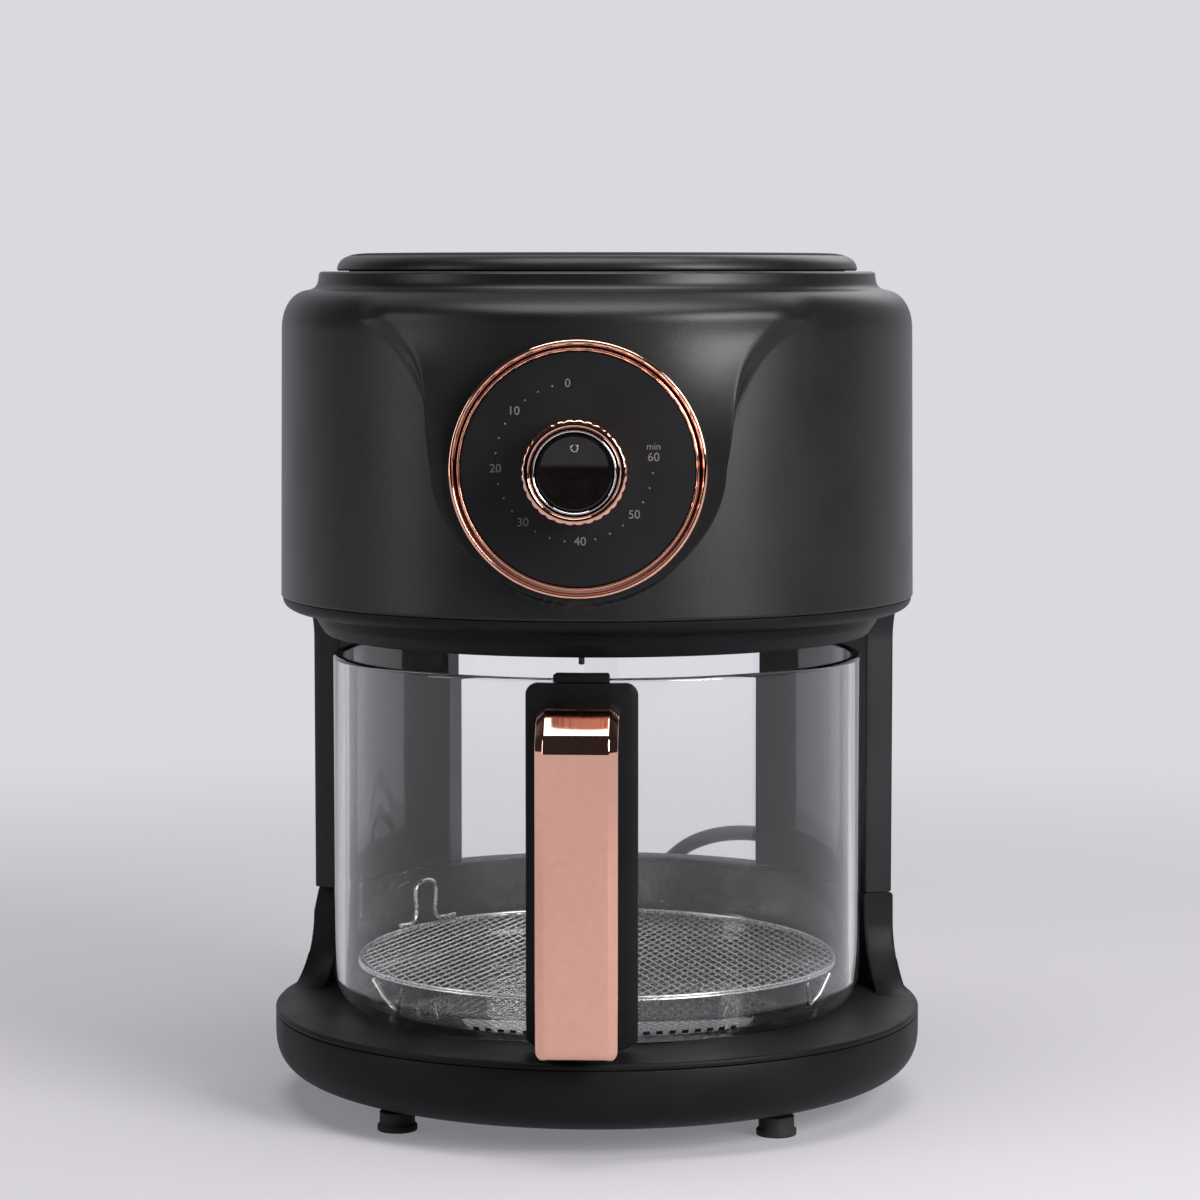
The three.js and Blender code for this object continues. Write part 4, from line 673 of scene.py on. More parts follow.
class WireNet(Tree):
    """A round net of crossed wires with diamond cells."""

    def __init__(self) -> None:
        """Builds the tree: a grid of cells, sheared into diamonds, drawn in to a circle and made of wire."""
        super().__init__("wire net", [
            ("Cells", "Int"), ("Cell Width", "Float"), ("Cell Height", "Float"), ("Radius", "Float"),
            ("Wire", "Float"), ("Centre", "Vector"), ("Material", "Material"),
        ])
        given = self.inputs
        grid = self.node("MeshGrid", {
            "Size X": 1.0, "Size Y": 1.0, "Vertices X": given["Cells"], "Vertices Y": given["Cells"],
        }).outputs[0]
        position = self.node("InputPosition").outputs[0]
        parts = self.node("ShaderNodeSeparateXYZ", {0: position}).outputs
        steps = self.maths("SUBTRACT", given["Cells"], 1.0)
        u, v = (self.maths("MULTIPLY", parts[k], steps) for k in (0, 1))
        half_width, half_height = (self.maths("MULTIPLY", given[side], 0.5)
                                   for side in ("Cell Width", "Cell Height"))
        x = self.maths("MULTIPLY", self.maths("SUBTRACT", u, v), half_width)
        y = self.maths("MULTIPLY", self.maths("ADD", u, v), half_height)
        sheared = self.moved(grid, self.node("ShaderNodeCombineXYZ", {0: x, 1: y}).outputs[0])
        reach = self.vector("LENGTH", {0: position}, "Value")
        margin = self.maths("ADD", given["Radius"], given["Cell Height"])
        outside = self.maths("GREATER_THAN", reach, margin)
        kept = self.node("DeleteGeometry", {"Geometry": sheared, "Selection": outside}).outputs[0]
        inside = self.maths("MINIMUM", reach, given["Radius"])
        limit = self.maths("DIVIDE", inside, self.maths("MAXIMUM", reach, 1e-6))
        round_net = self.moved(kept, self.vector("SCALE", {0: position, "Scale": limit}))
        wires = self.node("MeshToCurve", {"Mesh": round_net})
        section = self.node("CurvePrimitiveCircle", {"Resolution": 6, "Radius": given["Wire"]})
        solid = self.node("CurveToMesh", {
            "Curve": wires.outputs[0], "Profile Curve": section.outputs[0], "Fill Caps": True,
        })
        lifted = self.node("Transform", {"Geometry": solid.outputs[0], "Translation": given["Centre"]})
        self.finish(lifted.outputs[0])


@dataclass
class Lead:
    """The mains lead: its arch behind the base, its coil, its tie, its strain relief and its plug."""

    radius: float = 3.4
    gland_angle: float = 55.3
    height: float = 74.0
    exit_radius: float = 163.5
    gland_length: float = 24.0
    grooves: int = 6
    coil_centre: tuple[float, float] = (-58.0, 216.0)
    outer_turn: float = 41.0
    pitch: float = 7.3
    turns: float = 3.5
    lying: float = 4.4
    gap: float = 0.3
    plug_x: float = 30.0
    plug_y: float = 250.0
    plug_length: float = 34.0
    plug_width: float = 26.0
    plug_height: float = 21.4
    neck: float = 14.0
    blade_apart: float = 6.35
    blade_drop: float = 2.05
    blade_length: float = 16.0
    earth_rise: float = 4.92
    tie_gap: float = 0.5
    length: float = 1.058
    arch: list[Point] = field(default_factory=lambda: [
        (96.5, 139.2, 74.6), (99, 151, 76.6), (96.2, 162, 79.4), (87, 171, 82.4), (75, 175.2, 84.3),
        (62, 176, 84.9), (49, 175.6, 83.6), (37, 175.2, 79.6), (27, 175, 72.6), (18.5, 175, 63.6),
        (10, 175, 53.6), (1.5, 175, 43.2), (-7, 175, 32.8), (-15.5, 175, 22.6), (-24, 175, 13.8),
        (-32.5, 175, 8.1), (-41, 175, 4.9),
    ])

    def coil(self) -> list[Vector]:
        """Winds the coil: a spiral in on the lower layer and out on the upper one.

        Returns:
            Its points.
        """
        points = []
        whole = 360 * self.turns
        for share in spread(0, 1, 112):
            inwards = self.pitch * self.turns * min(share, 1 - share)
            climb = self.pitch * smooth(whole * share, whole / 2 - 90, whole / 2 + 90)
            x, y, z = polar(self.outer_turn - inwards, -90 - whole * share, self.lying + climb)
            points.append(Vector((x + self.coil_centre[0], y + self.coil_centre[1], z)))
        return points

    def path(self) -> list[Vector]:
        """Lays the whole lead from the strain relief to the plug.

        Returns:
            The points of its middle line.
        """
        coil = self.coil()
        ahead = Vector((2 * self.radius, 0, 0))
        neck = self.plug_x - self.neck
        middle = self.plug_height / 2
        start = polar(self.exit_radius, self.gland_angle, self.height)
        first = through([start, *self.arch, coil[0] + 2 * ahead, coil[0] + ahead], 6)
        turns = through([coil[0] + ahead, *coil, coil[-1] + ahead], 3)
        last = through([
            coil[-1] + ahead, coil[-1] + 2 * ahead, (-30, 254.5, 11.3), (-15, 251.8, 10.9),
            (neck - 3 * self.radius, self.plug_y, middle), (neck - self.gap, self.plug_y, middle),
        ], 6)
        return [*first, *turns[1:], *last[1:]]

    def round_exit(self, out: float, radius: float) -> list[Point]:
        """Gives a ring about the lead's exit line.

        Args:
            out: how far it stands from the foot of the strain relief.
            radius: its radius.

        Returns:
            The ring.
        """
        base = Vector(polar(self.exit_radius - self.gland_length + out, self.gland_angle, self.height))
        up = Vector((0, 0, 1))
        across = Vector(polar(1, self.gland_angle)).cross(up)
        return [tuple(base + across * a + up * b) for a, b in arc(0, 0, radius, full_turn(40))]

    def gland(self) -> Piece:
        """Makes the strain relief: a flange, a tapered sleeve and its rings of grooves.

        Returns:
            The strain relief.
        """
        end = self.gland_length
        outline = [(-3.4, 0), (-3.4, 4.4), (-0.4, 4.4), (-0.4, 7.2), (0.1, 7.5), (1.9, 7.5), (2.4, 7.0),
                   (2.6, 6.4)]
        for k in range(self.grooves):
            start = 4.2 + k * (end - 5.4) / self.grooves
            radius = 6.3 - 2.0 * start / end
            outline += [(start, radius), (start + 0.3, radius - 0.7), (start + 1.3, radius - 0.75),
                        (start + 1.6, radius)]
        outline += [(end - 0.6, 4.3), (end, 3.9), (end, 0)]
        rings = [self.round_exit(out, radius) for out, radius in outline]
        return Shape().loft(rings).wear("strain_relief", RUBBER, "stand", "cord_gland")

    def round_plug(self, start: float, middle: float, sides: int, outline: Outline) -> list[list[Point]]:
        """Gives rings about a line along the plug, at an outline's places out from its start."""
        turns = full_turn(sides)
        return [[(start + out, y, z) for y, z in arc(self.plug_y, middle, r, turns)] for out, r in outline]

    def plug_moulding(self) -> Piece:
        """Makes the plug's body with its grip ridges and its sleeve, which laps over the lead's end.

        Returns:
            The body.
        """
        half_w, half_h = self.plug_width / 2, self.plug_height / 2
        waist = [(0, 1.6), (0.5, 0.6), (1.6, 0), (9, 0), (10.5, 1.2), (12.5, 1.5), (21.5, 1.5), (23.5, 1.2),
                 (25, 0), (32.6, 0), (33.6, 0.5), (34, 1.4)]
        rings = []
        for out, shrink in waist:
            w, h = half_w - shrink, half_h - shrink
            outline = rounded([(-w, -h, 5), (w, -h, 5), (w, h, 5), (-w, h, 5)], closed=True, steps=6)
            rings.append([(self.plug_x + out, self.plug_y + a, half_h + b) for a, b in outline])
        end = -self.neck
        sleeve = [(end - 0.7, 3.5), (end - 0.5, 3.75), (end + 0.4, 4.0), (-6, 4.8), (-2, 5.7), (0, 6.8),
                  (1.5, 7)]
        body = Shape().loft(rings).loft(self.round_plug(self.plug_x, half_h, 32, sleeve))
        return body.wear("plug_moulding", RUBBER, "stand", "plug_body")

    def plug(self) -> list[Piece]:
        """Makes the plug: its body and its three pins.

        Returns:
            Its pieces.
        """
        pieces = [self.plug_moulding()]
        half_h, front = self.plug_height / 2, self.plug_x + self.plug_length
        for side, node in ((-1, "plug_pin_left"), (1, "plug_pin_right")):
            y, z = self.plug_y + side * self.blade_apart, half_h - self.blade_drop
            end = front + self.blade_length
            blade = Shape().block((front - 2, y - 0.75, z - 3.2), (end, y + 0.75, z + 3.2))
            pieces.append(blade.wear(f"{node}_blade", NICKEL, "stand", node, bevel=0.35))
        end = self.blade_length
        outline = [(-2, 2.4), (end - 1.8, 2.4), (end - 0.8, 2.1), (end - 0.2, 1.3), (end, 0.4)]
        earth = Shape().loft(self.round_plug(front, half_h + self.earth_rise, 24, outline))
        pieces.append(earth.wear("plug_pin_earth_round", NICKEL, "stand", "plug_pin_earth"))
        return pieces

    def tie_ring(self, out: float, grow: float) -> list[Point]:
        """Gives the tie's line round the coil's left side.

        Args:
            out: its place along the tie's width, from its middle.
            grow: how far it stands out from the inside of the tie.

        Returns:
            The line.
        """
        middle_x, middle_y = self.coil_centre
        low_x = middle_x - self.outer_turn - self.radius - self.tie_gap - grow
        high_x = middle_x - self.outer_turn + self.pitch * self.turns / 2 + self.radius + self.tie_gap + grow
        low_z, high_z = 0.7 - grow, self.lying + self.pitch + self.radius + self.tie_gap + grow
        corners = [(low_x, low_z, 3), (high_x, low_z, 3), (high_x, high_z, 3), (low_x, high_z, 3)]
        return [(a, middle_y + out, b) for a, b in rounded(corners, closed=True, steps=6)]

    def tie(self) -> Piece:
        """Makes the strap that holds the coil's left side.

        Returns:
            The strap.
        """
        section = ((-4.5, 0.35), (-4.2, 0.7), (4.2, 0.7), (4.5, 0.35), (4.5, 0.0), (-4.5, 0.0))
        rings = [self.tie_ring(out, grow) for out, grow in section]
        return Shape().loft(rings, joined=True).wear("coil_tie", RUBBER, "stand", "cord_tie")

    def build(self) -> None:
        path = self.path()
        tube = Shape().tube(path, self.radius, 14)
        lead = tube.wear("mains_lead", LEAD_BLACK, "stand", "power_cord", "cord_coil", "cord_tail")
        self.gland()
        riders = [*self.plug(), self.tie()]


@dataclass
class Base:
    """The round base: its pan, its deck with the rear wall, its feet and its screws."""

    radius: float = 141.6
    floor: float = 8.6
    seam: float = 38.5
    seam_gap: float = 0.3
    shell: float = 2.5
    deck: float = 41.2
    sunk: float = 1.2
    wall_outer: float = 138.2
    wall_inner: float = 124.7
    wall_top: float = 82.7
    wall_start: float = 18.2
    wall_fillet: float = 32.0
    wall_edge: float = 1.6
    flare: float = 2.8
    flare_height: float = 13.0
    foot_x: float = 80.0
    foot_y: float = 83.5
    screw_x: float = 78.0
    screw_y: float = 45.0

    def pan(self) -> Piece:
        """Turns the lower shell, which curves up to the seam.

        Returns:
            The shell.
        """
        rim, inside = self.seam - self.seam_gap, self.radius - self.shell
        curve = bezier((104, self.floor), (130, self.floor), (self.radius, 14), (self.radius, 30), 18)
        outline = [
            (0, self.floor), (60, self.floor), *curve, (self.radius, rim - 0.7),
            (self.radius - 0.2, rim - 0.2), (self.radius - 0.7, rim), (inside, rim), (inside, 26),
            (128, 14.6), (104, self.floor + self.shell), (0, self.floor + self.shell),
        ]
        return Shape().turned(outline, 192).wear("pan_shell", BASE_BLACK, "stand", "base_pan")

    def wall_height(self, angle: float) -> float:
        """Gives the rear wall's top: full height, falling in a hollow curve at its end.

        Args:
            angle: degrees from the side.

        Returns:
            The height.
        """
        run = math.radians(self.wall_start - angle) * self.wall_outer
        if run <= 0:
            return self.wall_top
        fallen = math.sqrt(max(self.wall_fillet ** 2 - (self.wall_fillet - run) ** 2, 0))
        return self.deck + self.wall_fillet - fallen

    def wall_section(self, angle: float) -> list[Point]:
        """Gives the rear wall's section: a flared foot outside, a soft top edge and a plain inside.

        Args:
            angle: degrees from the right side.

        Returns:
            The section.
        """
        outer, inner = self.wall_outer, self.wall_inner
        top = max(self.wall_height(min(angle, 180 - angle)), self.deck + 0.05)
        rise = min(top - self.deck, self.flare_height)
        edge = min(self.wall_edge, (top - self.deck) / 3)
        foot = [(outer + self.flare * (1 - s) ** 2.4, self.deck + rise * s * 0.96) for s in spread(0, 1, 7)]
        crown = [(outer, top - edge), (outer - edge * 0.3, top - edge * 0.3), (outer - edge, top),
                 (inner + edge, top), (inner + edge * 0.3, top - edge * 0.3), (inner, top - edge)]
        low = self.deck - self.sunk
        section = [(outer + self.flare, low), *foot, *crown, (inner, low)]
        return [polar(r, angle, z) for r, z in section]

    def wall(self, shape: Shape) -> Shape:
        """Adds the rear wall to the deck's shape.

        Args:
            shape: the deck's shape.

        Returns:
            The same shape.
        """
        reach = math.degrees(self.wall_fillet / self.wall_outer)
        half = [self.wall_start - reach * math.cos(math.radians(90 * share)) ** 1.6
                for share in spread(0.02, 1, 28)]
        half += spread(self.wall_start, 90, 36)[1:]
        angles = [*half, *[180 - angle for angle in reversed(half[:-1])]]
        return shape.loft([self.wall_section(angle) for angle in angles])

    def deck_piece(self) -> Piece:
        """Makes the deck: a flat round plate for the pot, and the rear wall that grows from it.

        Returns:
            The deck.
        """
        skirt, low = self.radius - 2.8, self.seam - 7.5
        inside, under = skirt - self.shell, self.deck - self.shell
        outline = rounded([
            (0, self.deck, 0), (self.radius, self.deck, 2.2), (self.radius, self.seam, 0.4),
            (skirt, self.seam, 0), (skirt, low, 0), (inside, low, 0), (inside, under, 0), (0, under, 0),
        ])
        return self.wall(Shape().turned(outline, 192)).wear("deck_shell", BASE_BLACK, "stand", "base_deck")

    def fixings(self, copies: Copies) -> None:
        """Makes the feet and the screws, two rows of each.

        Args:
            copies: the tree that repeats a shape.
        """
        foot = rounded([
            (0, 0, 0), (8.5, 0, 0.7), (8.5, 2.5, 0.6), (7.5, 3.5, 0.4), (7.5, 8.3, 0.4), (3.2, 8.3, 0),
            (3.2, 13, 0), (0, 13, 0),
        ])
        screw = rounded([
            (0, 6.7, 0), (1.2, 6.7, 0.1), (1.4, 6.3, 0.1), (3.1, 6.5, 0.5), (3.4, 8.3, 0.2), (1.4, 8.3, 0),
            (1.4, 20, 0), (0, 21.5, 0),
        ])
        kinds = (
            ("feet", "foot", Shape().turned(foot, 48), RUBBER, self.foot_x, self.foot_y),
            ("base_screws", "base_screw", Shape().turned(screw, 32), STAINLESS, self.screw_x, self.screw_y),
        )
        for row, sign in (("front", -1), ("rear", 1)):
            for several, one, shape, finish, x, y in kinds:
                pair = copies.make(f"{row}_{several}", shape, finish, 2, (-x, sign * y, 0), (2 * x, 0, 0))
                dress(pair, "stand", finish, f"{one}_{row}_left", f"{one}_{row}_right")

    def build(self, copies: Copies) -> None:
        """Makes the base's pieces.

        Args:
            copies: the tree that repeats a shape.
        """
        self.pan()
        self.deck_piece()
        self.fixings(copies)


@dataclass
class Columns:
    """The two hollow columns between the rear wall and the head."""

    outer: float = 137.7
    inner: float = 124.9
    start: float = 18.2
    end: float = 55.4
    front_flare: float = 5.0
    back_flare: float = 3.0
    flare_height: float = 24.0
    bottom: float = 83.0
    top: float = 220.7
    pinch: float = 0.4

    def levels(self) -> list[tuple[float, float]]:
        """Lists the levels at which a column is drawn.

        Returns:
            Each level's height and its share of the flare.
        """
        foot = self.top - self.flare_height
        straight = [(z, 0.0) for z in (self.bottom, self.bottom + 0.5, *spread(90, foot, 6))]
        return straight + [(foot + self.flare_height * s, s ** 2.1) for s in spread(0, 1, 12)[1:]]

    def build(self) -> None:
        """Makes both columns."""
        length = math.radians(self.end - self.start) * self.outer
        depth = self.outer - self.inner
        corners = [(0, 0, 0.8), (length, 0, 0.8), (length, depth, 1.2), (0, depth, 1.2)]
        outline = dense(rounded(corners, closed=True, steps=5), 4.0)
        for side, node in ((1, "column_right"), (-1, "column_left")):
            rings = []
            for z, amount in self.levels():
                first, last = self.start - self.front_flare * amount, self.end + self.back_flare * amount
                pinch = self.pinch if z == self.bottom else 0.0
                ring = [polar(self.inner + pinch + b * (1 - 2 * pinch / depth),
                              first + (last - first) * a / length, z) for a, b in outline]
                rings.append([(side * x, y, z) for x, y, z in ring])
            Shape().loft(rings).wear(f"{node}_shell", HEAD_BLACK, "stand", node)


@dataclass
class Head:
    """The head: its shell with the dial's swell and the rear slots, its cap and its lower ring."""

    bottom: float = 221.0
    radius: float = 138.0
    upper_radius: float = 137.0
    shoulder: float = 338.0
    top: float = 361.5
    opening: float = 108.0
    wall: float = 2.5
    cap_seat: float = 0.3
    cap_height: float = 8.0
    dial_z: float = 282.6
    face: float = 140.0
    face_radius: float = 53.7
    flank: float = 2.2
    soft_flank: float = 8.0
    lean: float = 9.0
    flare: float = 13.0
    flare_height: float = 58.0
    flare_power: float = 5.0
    front_span: float = 58.0
    swell_span: float = 60.0
    bulge: float = 118.0
    fade_from: float = 341.5
    fade_to: float = 353.0
    slots: int = 6
    slot_pitch: float = 5.4
    slot_half: float = 1.05
    slot_low: float = 262.0
    slot_high: float = 310.0
    slot_field: float = 165.0

    def edge(self, z: float) -> tuple[float, float]:
        """Gives where the swell ends at a height.

        Args:
            z: the height.

        Returns:
            How far out to a side it is full, and the width over which it ends.
        """
        above = max(z - self.dial_z, 0.0) / self.flare_height
        half = self.face_radius + self.lean * above + self.flare * above ** self.flare_power
        growth = self.lean + self.flare * self.flare_power * above ** (self.flare_power - 1)
        flank = self.flank + self.soft_flank * smooth(z, self.dial_z, self.shoulder)
        return half, flank * math.hypot(1, growth / self.flare_height)

    def swell(self, turn: float, z: float, radius: float) -> float:
        """Gives how far the shell stands out of its round at a turn from the front.

        Args:
            turn: degrees from the front.
            z: the height.
            radius: the round shell's radius there.

        Returns:
            The extra radius.
        """
        if abs(turn) > self.swell_span:
            return 0.0
        x = radius * math.sin(math.radians(abs(turn)))
        bend = smooth(z, self.dial_z, self.shoulder) / (2 * self.bulge)
        reach = (self.face - bend * x * x) / math.cos(math.radians(turn))
        half, flank = self.edge(min(z, self.fade_from))
        away = math.hypot(x, min(z - self.dial_z, 0.0))
        mask = (1 - smooth(away, half, half + flank)) * (1 - smooth(z, self.fade_from, self.fade_to))
        return max(reach - radius, 0.0) * mask

    def across(self, z: float) -> list[float]:
        """Gives the turns of the front's columns at a height, drawn together where the swell ends.

        Args:
            z: the height.

        Returns:
            Their degrees from the front.
        """
        level = min(z, self.fade_from)
        half, flank = self.edge(level)
        below = min(level - self.dial_z, 0.0)
        full = math.sqrt(max(half ** 2 - below ** 2, (self.face_radius / 3) ** 2))
        ended = math.sqrt(max((half + flank) ** 2 - below ** 2, (full + flank) ** 2))
        last = self.radius * math.sin(math.radians(self.front_span))
        side = [*spread(0, full, 64), *spread(full, ended, 10)[1:], *spread(ended, last, 56)[1:]]
        turns = [math.degrees(math.asin(x / self.radius)) for x in side]
        return [*[-turn for turn in reversed(turns[1:])], *turns]

    def lines(self) -> tuple[Outline, Outline]:
        """Draws the shell's section from the bottom up.

        Returns:
            Its outer line, and its inner one from the top down.
        """
        side = [(self.radius - 0.9, self.bottom), (self.radius - 0.3, self.bottom + 0.2),
                (self.radius, self.bottom + 0.8)]
        heights = [*spread(222.5, self.slot_low, 48), *spread(self.slot_low, self.slot_high, 58)[1:],
                   *spread(self.slot_high, 335.5, 30)[1:]]
        slope = (self.upper_radius - self.radius) / (self.shoulder - self.bottom)
        side += [(self.radius + slope * (z - self.bottom), z) for z in heights]
        crest = (125.6, 353.6)
        shoulder = bezier((self.upper_radius, 336.5), (self.upper_radius, 346.5), (132.2, 352.8), crest, 26)
        hollow = bezier(crest, (122.4, 354.1), (121.2, 355.6), (120.9, 359.6), 8)[1:]
        ledge = [(120.8, 360.6), (120.3, 361.2), (119.6, self.top), (self.opening, self.top)]
        under = self.top - self.wall
        inner = [
            (self.opening, under), (117.6, under), (118.4, 353), (122, 350.5), (131, 345), (134.4, 336),
            (134.6, self.slot_high), (134.9, self.slot_low), (135.5, self.bottom),
        ]
        return [*side, *shoulder, *hollow, *ledge], inner

    def rest_turns(self) -> tuple[list[float], list[tuple[int, int]]]:
        """Lists the other columns.

        Returns:
            Their degrees from the front, and the pairs among them that bound each slot.
        """
        edges = []
        for k in range(self.slots):
            middle = 180 + (k - (self.slots - 1) / 2) * self.slot_pitch
            edges += [middle - self.slot_half, middle + self.slot_half]
        right = spread(self.front_span, self.slot_field, 38)[1:]
        left = spread(360 - self.slot_field, 360 - self.front_span, 38)[:-1]
        pairs = [(len(right) + 2 * k, len(right) + 2 * k + 1) for k in range(self.slots)]
        return [*right, *edges, *left], pairs

    def pierced(self, rows: int, count: int, slots: list[tuple[int, int]],
                ends: tuple[int, int, int]) -> list[Face]:
        """Skins the rows of points, with an opening and its four walls at each slot.

        Args:
            rows: the number of rows.
            count: the points in each row.
            slots: the columns that bound each slot.
            ends: the outer rows at the slots' low and high ends, and the inner row at their high end, which
                the row of their low end follows.

        Returns:
            The faces.
        """
        low, high, inner_high = ends
        starts = {left for left, _ in slots}
        faces: list[Face] = []
        for row in range(rows):
            open_row = low <= row < high or row == inner_high
            faces += [quad(count, row, (row + 1) % rows, k, (k + 1) % count)
                      for k in range(count) if not (open_row and k in starts)]
        for left, right in slots:
            for k in (left, right):
                rising = [row * count + k for row in range(low, high + 1)]
                faces.append((*rising, inner_high * count + k, (inner_high + 1) * count + k))
            faces.append(quad(count, low, inner_high + 1, left, right))
            faces.append(quad(count, high, inner_high, left, right))
        return faces

    def shell(self) -> Piece:
        """Makes the shell, with its slots cut right through the wall.

        Returns:
            The shell.
        """
        outer, inner = self.lines()
        rest, pairs = self.rest_turns()
        rows = [[polar(r + self.swell(t, z, r), t - 90, z) for t in [*self.across(z), *rest]]
                for r, z in outer]
        turns = [*self.across(self.bottom), *rest]
        rows += [[polar(r, t - 90, z) for t in turns] for r, z in inner]
        ahead = len(turns) - len(rest)
        slots = [(ahead + left, ahead + right) for left, right in pairs]
        low, high = ([z for _, z in outer].index(end) for end in (self.slot_low, self.slot_high))
        inner_high = len(outer) + [z for _, z in inner].index(self.slot_high)
        shape = Shape()
        shape.points = [p for row in rows for p in row]
        shape.faces = self.pierced(len(rows), len(turns), slots, (low, high, inner_high))
        return shape.wear("head_moulding", HEAD_BLACK, "stand", "head_shell")

    def cap(self) -> Piece:
        """Turns the cap: a shallow lid with a soft edge, and a thin finely textured layer on and round it.

        Returns:
            The lid.
        """
        seat, top = self.top + self.cap_seat, self.top + self.cap_height
        edge = bezier((100, top - 0.15), (108.5, top - 0.3), (112.3, top - 2.4), (113, seat + 1.0), 14)
        texture = [(0, top), (92, top), *[(r, z + 0.05) for r, z in edge[:6]]]
        end_r, end_z = edge[6]
        panel = [*texture, (end_r, end_z - 0.1), *[(r, z - 0.3) for r, z in reversed(texture)]]
        Shape().turned(panel, 192).wear("cap_panel", CAP_BLACK, "stand")
        high, low = self.top + 0.05, self.top - 0.05
        ledge = [(113.4, high), (119.3, high), (119.55, low), (113.4, low)]
        Shape().turned(ledge, 192).wear("ledge_ring", CAP_BLACK, "stand")
        under = top - self.wall
        outline = [
            (0, top - 0.1), (98, top - 0.1), *edge, (112.8, seat + 0.4), (112.2, seat), (107.7, seat),
            (107.7, seat - 6), (105.2, seat - 6), (105.2, under), (0, under),
        ]
        return Shape().turned(outline, 192).wear("cap_lid", HEAD_BLACK, "stand", "top_cap")

    def bezel(self) -> Piece:
        """Turns the ring under the head: a curved lip, a groove and the collar over the pot.

        Returns:
            The ring.
        """
        lip = bezier((137.3, 220.7), (137.5, 216.5), (132.5, 214.6), (128.2, 214.5), 12)
        body = rounded([
            (128.2, 214.5, 0), (127.4, 214.6, 0.5), (124.9, 217.6, 0.4), (123.0, 217.8, 0.4), (122.3, 210, 3),
            (118.6, 204.5, 2.2), (114.2, 204.5, 1.2), (112.8, 206.1, 0.8), (112.8, 223.2, 0), (134, 223.2, 0),
            (134, 220.7, 0),
        ])
        ring = Shape().turned([*lip, *body[1:]], 192)
        return ring.wear("collar_ring", COLLAR_BLACK, "stand", "head_bezel")

    def build(self) -> None:
        """Makes the head's pieces."""
        self.shell()
        self.cap()
        self.bezel()


@dataclass
class Works:
    """What shows under the head or through its slots: guard, heater, fans, shield and the switch's pin."""

    guard_z: float = 207.15
    guard_radius: float = 111.5
    guard_inner: float = 103.5
    guard_wire: float = 0.55
    rings: int = 8
    bars: int = 6
    bar_half: float = 1.5
    heater_z: float = 217.0
    heater_wire: float = 3.2
    heater_outer: float = 96.0
    heater_inner: float = 78.0
    pin_orbit: float = 116.5
    pin_radius: float = 1.25
    pin_low: float = 201.6
    pin_high: float = 228.4

    def guard(self, copies: Copies) -> Piece:
        """Makes the wire guard under the heater: a flat rim, rings of wire and bars across them.

        Args:
            copies: the tree that repeats a shape.

        Returns:
            The rim with its rings.
        """
        inner, outer = self.guard_inner, self.guard_radius
        low, high = self.guard_z - 0.5, self.guard_z + 0.5
        shape = Shape().turned([(inner, low), (outer, low), (outer, high), (inner, high)], 128)
        for radius in spread(14, 94, self.rings - 1):
            shape.turned(arc(radius, self.guard_z, self.guard_wire, full_turn(6)), 96)
        made = shape.build("guard_rings", STAINLESS)
        bar = Shape().block((13.5, -self.bar_half, self.guard_z - 0.4),
                            (104.5, self.bar_half, self.guard_z + 0.4))
        bars = copies.make("guard_bars", bar, STAINLESS, self.bars, step=360 / self.bars)
        dress(bars, "stand", STAINLESS)
        return dress(made, "stand", STAINLESS, "heater_guard")

    def heater(self) -> Piece:
        """Makes the heater: two turns of thick tube that rise through the shield at both ends.

        Returns:
            The heater.
        """
        outer, inner = self.heater_outer, self.heater_inner
        path = [(outer, 0, 253), (outer, 0, 236), (outer, 0, 224), (outer - 0.3, 1.2, 219.2)]
        path.append((outer - 0.4, 4.5, self.heater_z))
        path += [polar(outer + (inner - outer) * t / 720, t, self.heater_z) for t in spread(6, 712, 150)]
        path += [(inner, -1.2, 219.2), (inner, 0, 224), (inner, 0, 236), (inner, 0, 253)]
        tube = Shape().tube(path, self.heater_wire, 14)
        return tube.wear("heater_tube", DARK_STEEL, "stand", "heater_element")

    def pin(self) -> Piece:
        """Turns the door switch's pin, whose foot shows under the collar.

        Returns:
            The pin.
        """
        radius, collar = self.pin_radius, 2.1
        outline = rounded([
            (0, self.pin_low, 0), (radius, self.pin_low, 0.6), (radius, 223.5, 0), (collar, 223.5, 0),
            (collar, 224.5, 0), (radius, 224.5, 0), (radius, self.pin_high, 0.3), (0, self.pin_high, 0),
        ])
        pin = Shape().turned(outline, 24, y=-self.pin_orbit)
        return pin.wear("switch_pin_rod", HEAD_BLACK, "switch_pin", "sensor_pin")

    def build(self, copies: Copies) -> None:
        """Makes the pieces and gives the solids that stay their finishes.

        Args:
            copies: the tree that repeats a shape.
        """
        self.guard(copies)
        self.heater()
        self.pin()
        finishes = {
            "heat_shield": PRESSED_STEEL, "convection_fan": ALUMINIUM, "cooling_fan": BASE_BLACK,
            "motor_shaft": STAINLESS, "motor_bridge": PRESSED_STEEL, "fan_motor": DARK_STEEL,
            "thermostat": NICKEL, "sensor_spring": STAINLESS, "microswitch": BASE_BLACK, "timer_body": NICKEL,
            "timer_shaft": STAINLESS, "post_left": PRESSED_STEEL, "post_right": PRESSED_STEEL,
            "inner_lead": LEAD_BLACK,
        }
        for name, finish in finishes.items():
            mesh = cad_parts[name].data
            mesh.materials.clear()
            mesh.materials.append(finish.material())
            log.info("%s: keeps its solid, in %s", name, finish.name)


